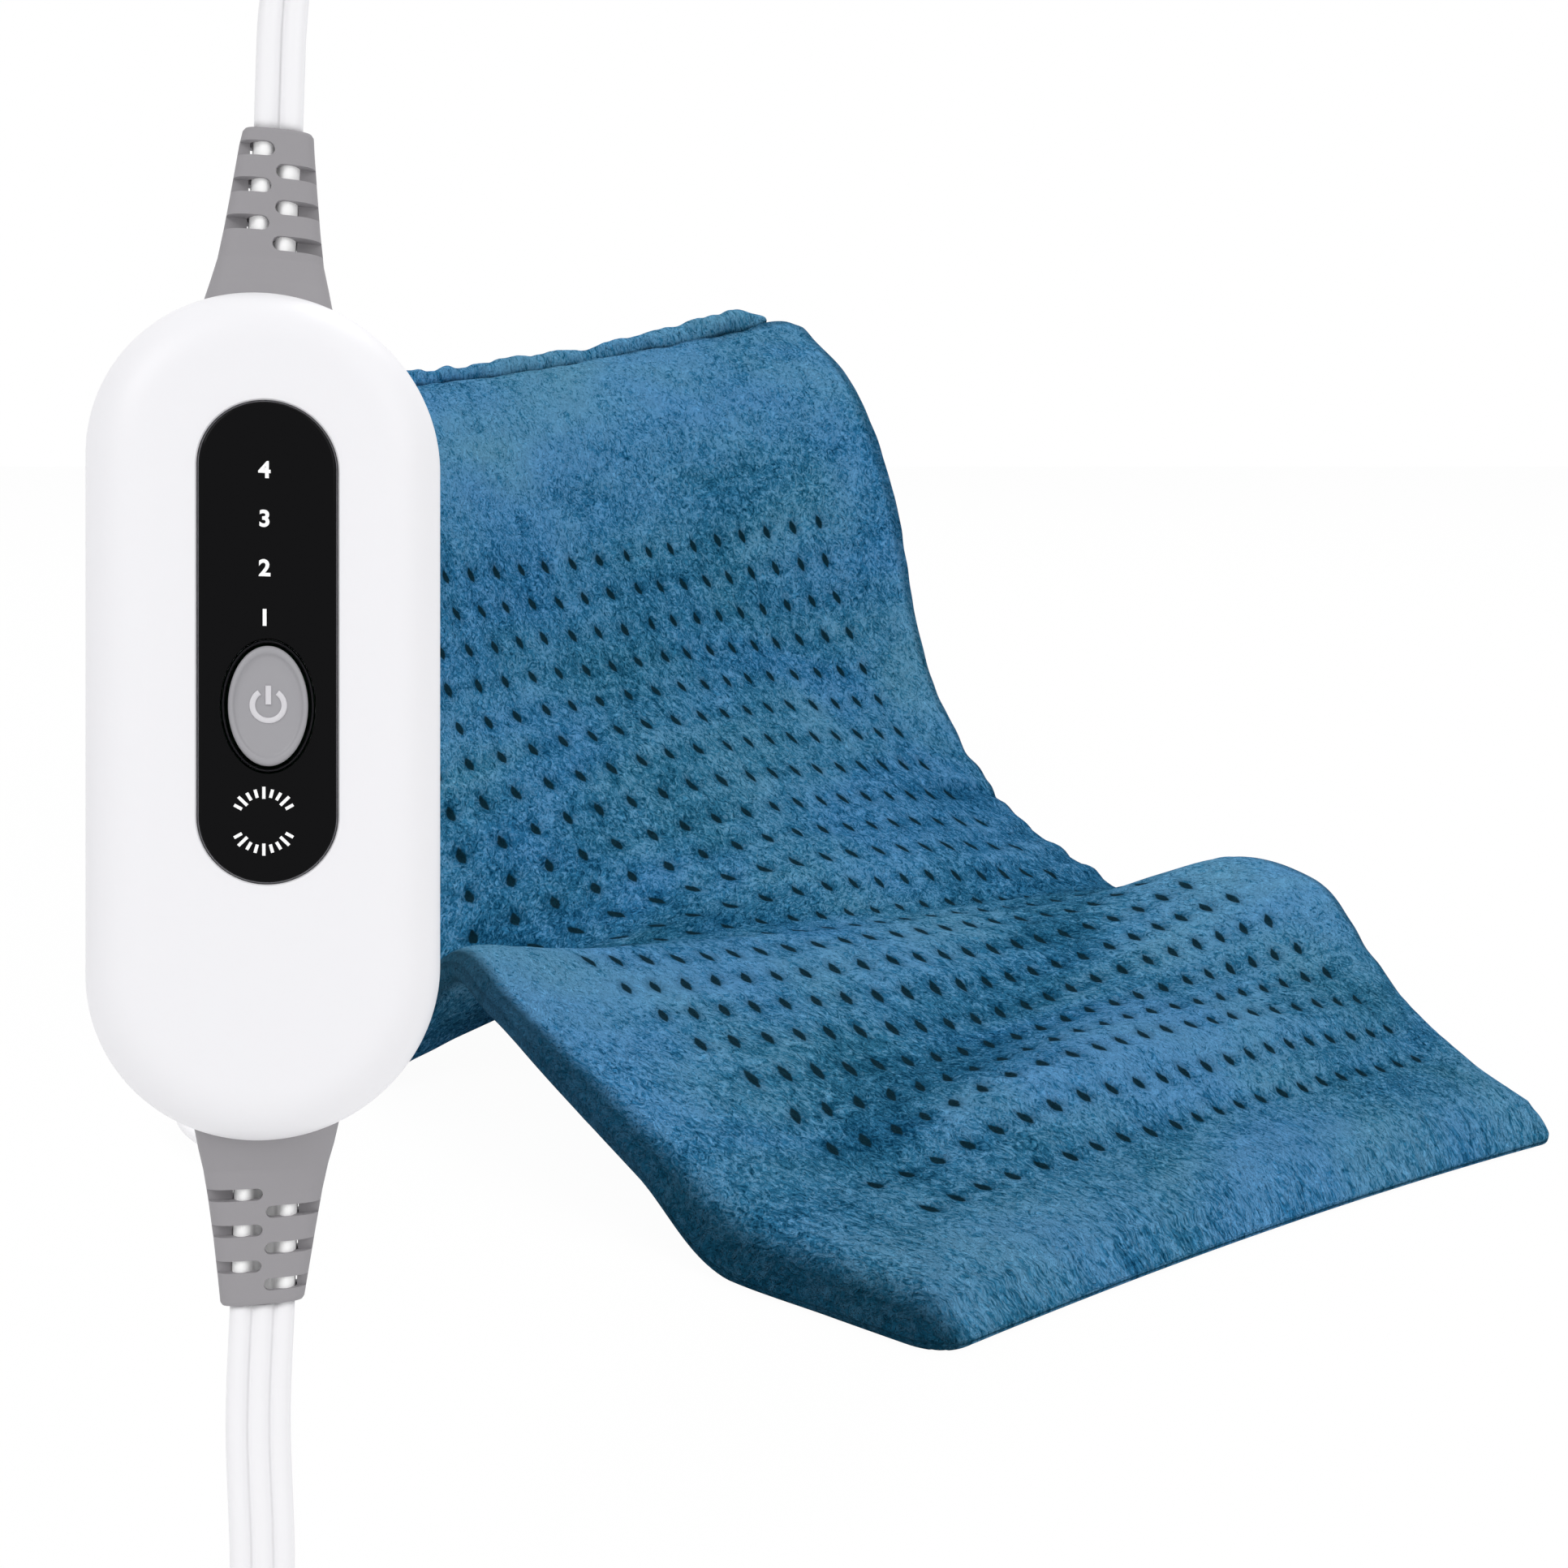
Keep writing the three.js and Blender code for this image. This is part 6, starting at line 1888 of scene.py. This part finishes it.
UPPER_RELIEF = StrainRelief(
    node="upper_strain_relief", lead_node="mains_lead_end", lead=MAINS_LEAD_END, down=False,
    levels=(
        (59.0, 18.9, 12.6, 0.1), (61.0, 18.0, 11.4, 0.15), (63.5, 16.8, 9.4, 0.3), (67, 15.1, 7.4, 0.45),
        (72, 13.6, 6.5, 0.7), (78, 12.1, 5.9, 1.0), (84, 10.7, 5.4, 1.3), (86.0, 10.15, 5.3, 1.48),
        (86.4, 9.6, 4.9, 1.5),
    ),
    left=((83.3, 1.0), (77.8, 0.5), (72.2, 0.2)), right=((80.1, 1.1), (74.7, 1.0), (69.3, 0.6)),
    slot=2.2, bore=(7.3, 3.8),
)
LOWER_RELIEF = StrainRelief(
    node="lower_strain_relief", lead_node="pad_lead_end", lead=PAD_LEAD_END, down=True,
    levels=(
        (57.8, 21.2, 12.8, 0.0), (60, 20.4, 11.4, -0.05), (63, 19.2, 9.4, -0.1), (66, 17.7, 7.4, -0.2),
        (70, 16.2, 6.5, -0.32), (76, 14.4, 5.9, -0.45), (82, 12.8, 5.5, -0.62), (85.5, 11.9, 5.3, -0.74),
        (85.9, 11.4, 4.9, -0.75),
    ),
    left=((69.6, -0.7), (74.9, -0.75), (80.2, -0.9)), right=((72.3, -0.3), (77.7, -0.5), (83.0, -0.6)),
    slot=1.8, bore=(9.5, 3.8),
)

MAINS_POINTS = [
    (-204.3, -165.3, 270.6), (-203.8, -162.2, 284.3), (-206.1, -164, 298.9), (-212.6, -169.1, 311.2),
    (-222.4, -176.6, 319.5), (-233.9, -185.6, 322.4), (-245.4, -194.6, 319.5), (-255.2, -202.1, 311.2),
    (-261.7, -207.2, 298.9), (-264, -209, 284.3), (-264, -209.5, 250), (-264, -210, 200),
    (-264, -210.4, 150), (-264, -210.7, 100), (-264, -211, 60), (-264, -211, 34),
    (-268.3, -211, 18), (-280, -211, 6.3), (-296, -211, 2.1), (-316, -211, 3.2), (-336, -211, 4.5),
    (-356, -211, 5),
]
PAD_LEAD_POINTS = [
    (-207.7, -209.4, 71.7), (-207.1, -213.9, 51.2), (-207.5, -217.4, 35.3), (-208.3, -217.3, 23.2),
    (-210.7, -212, 12.3), (-214, -202.5, 5.2), (-217.8, -190.6, 2.9), (-224, -170, 2.5),
    (-234.4, -135, 2.3), (-249.5, -85, 2.3), (-264.5, -35, 2.3), (-279, 14, 2.3), (-286.5, 25.5, 2.7),
    (-297.5, 36.5, 3.9), (-308.5, 47.5, 5.2), (-314, 59, 6.6), (-313.5, 71.5, 9.4),
]
OVER_HOOK = (0.614, -0.789, 0)
ALONG_FLOOR = (0.957, 0.29, 0)


@dataclass(frozen=True)
class Coil:
    """The put-away length of the mains lead, wound on its edge in two layers, in millimetres.

    Args:
        radius, pitch: of the outermost turn, and from one turn to the next.
        dip: how much further in the climb lies.
        climb: the share of a turn that the climb takes.
    """

    centre: Pair = (-385.0, -254.0)
    radius: float = 43.0
    pitch: float = 4.4
    dip: float = 2.2
    layer_turns: float = 2.5
    climb: float = 0.5
    low: float = 5.0
    high: float = 12.6
    straight: float = 9.0
    per_turn: int = 72

    def path(self) -> Array:
        """Points along it: r = radius - pitch (turns inward - turns outward) - dip, with a smooth climb."""
        n, climb, once = self.layer_turns, self.climb, 2 * math.pi * self.radius
        turns, ends = 2 * n + climb, self.straight / once
        turn = np.linspace(-ends, turns + ends, int(self.per_turn * turns) + 8)
        wound = np.clip(turn, 0, turns)
        starts = (n - climb, n, n + climb)
        before, during, after = (smooth(ramp(wound, start, start + climb)) for start in starts)
        radius = self.radius - self.pitch * (np.minimum(wound, n) - np.maximum(wound - n - climb, 0))
        radius = radius - self.dip * (before - after)
        angle = math.pi / 2 + 2 * math.pi * wound
        x = self.centre[0] + radius * np.cos(angle) + np.abs(turn - wound) * once
        y = self.centre[1] + radius * np.sin(angle)
        return np.stack([x, y, self.low + (self.high - self.low) * during], -1)


@dataclass(frozen=True)
class Plug:
    """The moulded plug: a tapered relief that swells into a flat body, in rings of place, width and depth."""

    levels: tuple[Triple, ...] = (
        (0.3, 8.4, 5.0), (6, 9.0, 5.6), (16, 9.9, 6.3), (26, 10.8, 6.9), (30, 12, 7.4), (31.5, 17, 10.5),
        (33.5, 22.4, 14.2), (36.5, 24.3, 15.3), (42, 24.6, 15.4), (54, 24.6, 15.4), (56.4, 24.0, 14.8),
        (57, 22.6, 13.6),
    )
    count: int = 64
    power: float = 0.6

    def build(self, end: Array) -> Piece:
        """Builds the plug on the lead's end: each ring is end + (x, depth/2 sin part, width/2 cos part).

        Args:
            end: the lead's last point.
        Returns:
            The piece.
        """
        round_ = oblong(self.count, self.power)[:, ::-1] / 2
        rings = end + np.array([
            np.column_stack([np.full(self.count, x), round_ * [depth, width]])
            for x, width, depth in self.levels
        ])
        made = rings_mesh("mains_plug", rings * MM, Coat.SHELL, sharp=50)
        return settle(made, "mains_plug_body", slot="white_shell")


@dataclass(frozen=True)
class CoilTie:
    """A soft band round the coil's turns, as large as the frame's.

    Args:
        skin, thickness: how far inside the frame's box its outer and inner side lie, in millimetres.
        narrower: its length as a share of the box's.
    """

    count: int = 72
    power: float = 0.25
    skin: float = 0.02
    thickness: float = 0.95
    narrower: float = 0.98

    def build(self) -> Piece:
        """Builds the band: four rounded oblongs, two outside and two inside, and returns it."""
        low, high = (np.array(v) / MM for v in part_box("coil_tie"))
        centre, half = (low + high) / 2, (high - low) / 2
        round_ = oblong(self.count, self.power)
        rings = []
        for inset, end in ((self.skin, -1), (self.skin, 1), (self.thickness, 1), (self.thickness, -1)):
            x, z = (centre[k] + (half[k] - inset) * round_[:, k // 2] for k in (0, 2))
            rings.append(np.stack([x, np.full(self.count, centre[1] + end * half[1] * self.narrower), z], -1))
        made = rings_mesh("coil_band", np.array(rings) * MM, Coat.TIE, wrap=True, sharp=50)
        return settle(made, "coil_tie", slot="tie_fabric")


@dataclass(frozen=True)
class PadEntry:
    """The grey sleeve where the lead goes into the pad's left edge, in millimetres.

    Args:
        outside, inside: reach outward, width and depth of each ring.
        lead_reach: how far out the lead's inner end starts and how far in it ends.
    """

    place_share: float = 0.52
    outside: tuple[Triple, ...] = (
        (-8, 16.6, 9.2), (3, 16.8, 9.4), (5, 16.2, 9.0), (15, 14.2, 7.4), (25, 12.5, 6.0), (25.9, 11.9, 5.5),
    )
    inside: tuple[Triple, ...] = ((25.9, 9.8, 4.0), (10, 9.8, 4.0), (-8, 9.8, 4.0))
    count: int = 64
    power: float = 0.62
    lead_reach: Pair = (26, -8)
    lead_stops: Pair = (35.5, 26.3)

    def frame(self) -> tuple[Array, Array, Array]:
        """The entry's place, outward way and wide way, in millimetres."""
        point, _, down, side = PadSurface().frames(np.array([0.0]), np.array([self.place_share]))
        out = unit(-side[0] * [1, 1, 0])
        along = unit(down[0] - out * float(down[0] @ out))
        return point[0] / MM, out, along

    def build(self) -> None:
        """Builds the sleeve, ring by ring along the outward way, and the lead's end in it."""
        entry, out, along = self.frame()
        wide, deep = oblong(self.count, self.power).T[..., None] / 2
        up = np.cross(out, along)
        rings = np.array([
            entry + out * reach + along * width * wide + up * depth * deep
            for reach, width, depth in self.outside + self.inside
        ])
        made = rings_mesh("lead_entry_sleeve", rings * MM, Coat.RELIEF, wrap=True, sharp=50)
        settle(made, "pad_entry_grommet", slot="grey_relief")
        path = entry + out * np.linspace(*self.lead_reach, 12)[:, None]
        rings = PAD_LEAD.along(path, np.tile(along, (12, 1)))
        settle(rings_mesh("pad_lead_inner_end", rings * MM, Coat.VINYL), "pad_lead_tail", slot="white_vinyl")


@dataclass(frozen=True)
class Leads:
    """The mains lead with its coil and plug, and the lead to the pad.

    Args:
        mains_tip, pad_tip: where the leads leave the reliefs, in the controller's frame.
    """

    coil: Coil = Coil()
    plug: Plug = Plug()
    tie: CoilTie = CoilTie()
    entry: PadEntry = PadEntry()
    steps: int = 420
    mains_tip: Triple = (1.5, 0, 86.7)
    pad_tip: Triple = (-0.75, 0, -86.2)

    def free(self, tip: Triple, *route: Array) -> Array:
        """Even points along a smooth curve from a relief's tip through a route."""
        return catmull_rom(np.vstack([place(tip) / MM, *route]), np.linspace(0, 1, self.steps))

    def mains(self) -> None:
        """One unbroken lead from the controller's top, over the hook, into the coil and to the plug."""
        coil = self.coil.path()
        free = self.free(self.mains_tip, np.array(MAINS_POINTS), coil[0])
        path = np.vstack([free[:-1], coil])
        reached = run_length(path)
        wide = facing(np.minimum(reached / run_length(free)[-1], 1), [
            (0, POSE[:, 0]), (0.03, POSE[:, 0]), (0.1, OVER_HOOK), (0.28, OVER_HOOK), (0.5, (0, -1, 0)),
            (0.86, (0, -1, 0)), (0.95, (0, 0, 1)), (1, (0, 0, 1)),
        ])
        lead = rings_mesh("mains_flat_lead", MAINS_LEAD.along(path, wide) * MM, Coat.VINYL)
        settle(lead, "mains_lead", "mains_coil", slot="white_vinyl")
        plug, tie = self.plug.build(coil[-1]), self.tie.build()
        LOG.info("mains lead %.3f m", reached[-1] * MM)

    def pad(self) -> None:
        """The limp lead from the controller's foot, under it and back to the pad's left edge."""
        entry, out, along = self.entry.frame()
        ends = [entry + out * reach for reach in self.entry.lead_stops]
        path = self.free(self.pad_tip, np.array(PAD_LEAD_POINTS), *ends)
        reached = run_length(path)
        wide = facing(reached / reached[-1], [
            (0, POSE[:, 0]), (0.24, ALONG_FLOOR), (0.72, ALONG_FLOOR), (0.82, (0.7, 0.7, 0)),
            (0.92, (0.94, -0.3, -0.1)), (1, along),
        ])
        lead = rings_mesh("pad_flat_lead", PAD_LEAD.along(path, wide) * MM, Coat.VINYL)
        settle(lead, "pad_lead", slot="white_vinyl")
        LOG.info("pad lead %.3f m", reached[-1] * MM)


# The camera and the stage


@dataclass(frozen=True)
class View:
    """The camera of the photograph: level across, turned down a little, in front of the pad."""

    at: Triple = (-0.130, -0.435, 0.218)
    down: float = 12.5
    lens: float = 39.13
    sensor: float = 36
    near: float = 0.01

    def build(self) -> None:
        """Makes the camera and uses it."""
        data = bpy.data.cameras.new("camera")
        data.sensor_width = self.sensor
        data.lens = self.lens
        data.clip_start = self.near
        camera = bpy.data.objects.new("camera", data)
        camera.location = self.at
        camera.rotation_euler = (math.radians(90 - self.down), 0, 0)
        bpy.context.scene.collection.objects.link(camera)
        bpy.context.scene.camera = camera


@dataclass(frozen=True)
class Lamp:
    """A square soft lamp, with its place and the place that it is turned to, in metres and watts."""

    name: str
    at: Triple
    to: Triple
    size: float
    power: float

    def build(self) -> None:
        """Makes the lamp, leaned by the angle from straight down and turned by that round the upright."""
        data = bpy.data.lights.new(self.name, "AREA")
        data.size = self.size
        data.energy = self.power
        made = bpy.data.objects.new(self.name, data)
        x, y, z = np.array(self.at) - np.array(self.to)
        made.location = self.at
        made.rotation_euler = (math.atan2(math.hypot(x, y), z), 0, math.atan2(x, -y))
        bpy.context.scene.collection.objects.link(made)


@dataclass(frozen=True)
class Stage:
    """A pale floor that stays white to the eye and keeps a soft shadow, and soft studio light.

    Args:
        floor_white: how much of it is white by itself where it is seen.
        world_light: strength of the world's light on the object. It looks white at 1 where it is seen.
    """

    low: Pair = (-4, -4)
    high: Pair = (4, 6)
    under: float = 0.4 * MM
    floor_colour: Triple = (0.9, 0.9, 0.9)
    floor_roughness: float = 0.9
    floor_white: float = 0.965
    world_light: float = 0.62
    lamps: tuple[Lamp, ...] = (
        Lamp("key", (-1.7, -2.3, 3.0), (-0.1, 0.05, 0.1), 1.6, 42),
        Lamp("fill", (2.6, -1.6, 2.2), (-0.1, 0.1, 0.1), 2.0, 30),
        Lamp("top", (0.4, 1.8, 3.4), (-0.1, 0.1, 0.1), 2.2, 40),
    )

    def floor(self) -> None:
        """Makes the floor: pale where it lights the object, and mostly plain white where it is seen."""
        (x0, y0), (x1, y1), z = self.low, self.high, -self.under
        corners = np.array([(x0, y0, z), (x1, y0, z), (x1, y1, z), (x0, y1, z)])
        floor = add_mesh("floor", corners, np.array([(0, 1, 2, 3)]), Coat.PRINT)
        material = bpy.data.materials.new("floor_white")
        material.use_nodes = True
        floor.data.materials.clear()
        floor.data.materials.append(material)
        pen = NodePen(material.node_tree)
        shader = pen.nodes["Principled BSDF"]
        shader.inputs["Base Color"].default_value = (*self.floor_colour, 1)
        shader.inputs["Roughness"].default_value = self.floor_roughness
        glow = pen.nodes.new("ShaderNodeEmission")
        glow.inputs["Color"].default_value = (1, 1, 1, 1)
        glow.inputs["Strength"].default_value = 1
        mix = pen.nodes.new("ShaderNodeMixShader")
        pen.links.new(pen.times(pen.seen(), self.floor_white), mix.inputs["Fac"])
        pen.links.new(shader.outputs["BSDF"], mix.inputs[1])
        pen.links.new(glow.outputs["Emission"], mix.inputs[2])
        pen.links.new(mix.outputs["Shader"], pen.nodes["Material Output"].inputs["Surface"])

    def world(self) -> None:
        """Makes the world: white where it is seen, and less strong as light on the object."""
        world = bpy.data.worlds.new("studio")
        bpy.context.scene.world = world
        world.use_nodes = True
        pen = NodePen(world.node_tree)
        backdrop = pen.nodes["Background"]
        backdrop.inputs["Color"].default_value = (1, 1, 1, 1)
        more = pen.span(pen.seen(), 0, 1, 1 - self.world_light)
        pen.links.new(pen.plus(self.world_light, more), backdrop.inputs["Strength"])

    def build(self) -> None:
        """Makes the floor, the world and the lamps."""
        self.floor()
        self.world()
        for lamp in self.lamps:
            lamp.build()


def main() -> None:
    """Builds the whole scene: the camera and the leads first."""
    logging.basicConfig(level=logging.INFO)
    bpy.context.scene.view_settings.view_transform = "Standard"
    View().build()
    leads = Leads()
    leads.mains()
    leads.pad()
    Stage().build()
    HeatingPad().build()
    Hem().build()
    Controller().build()
    UPPER_RELIEF.build()
    LOWER_RELIEF.build()
    leads.entry.build()


if __name__ == "__main__":
    main()
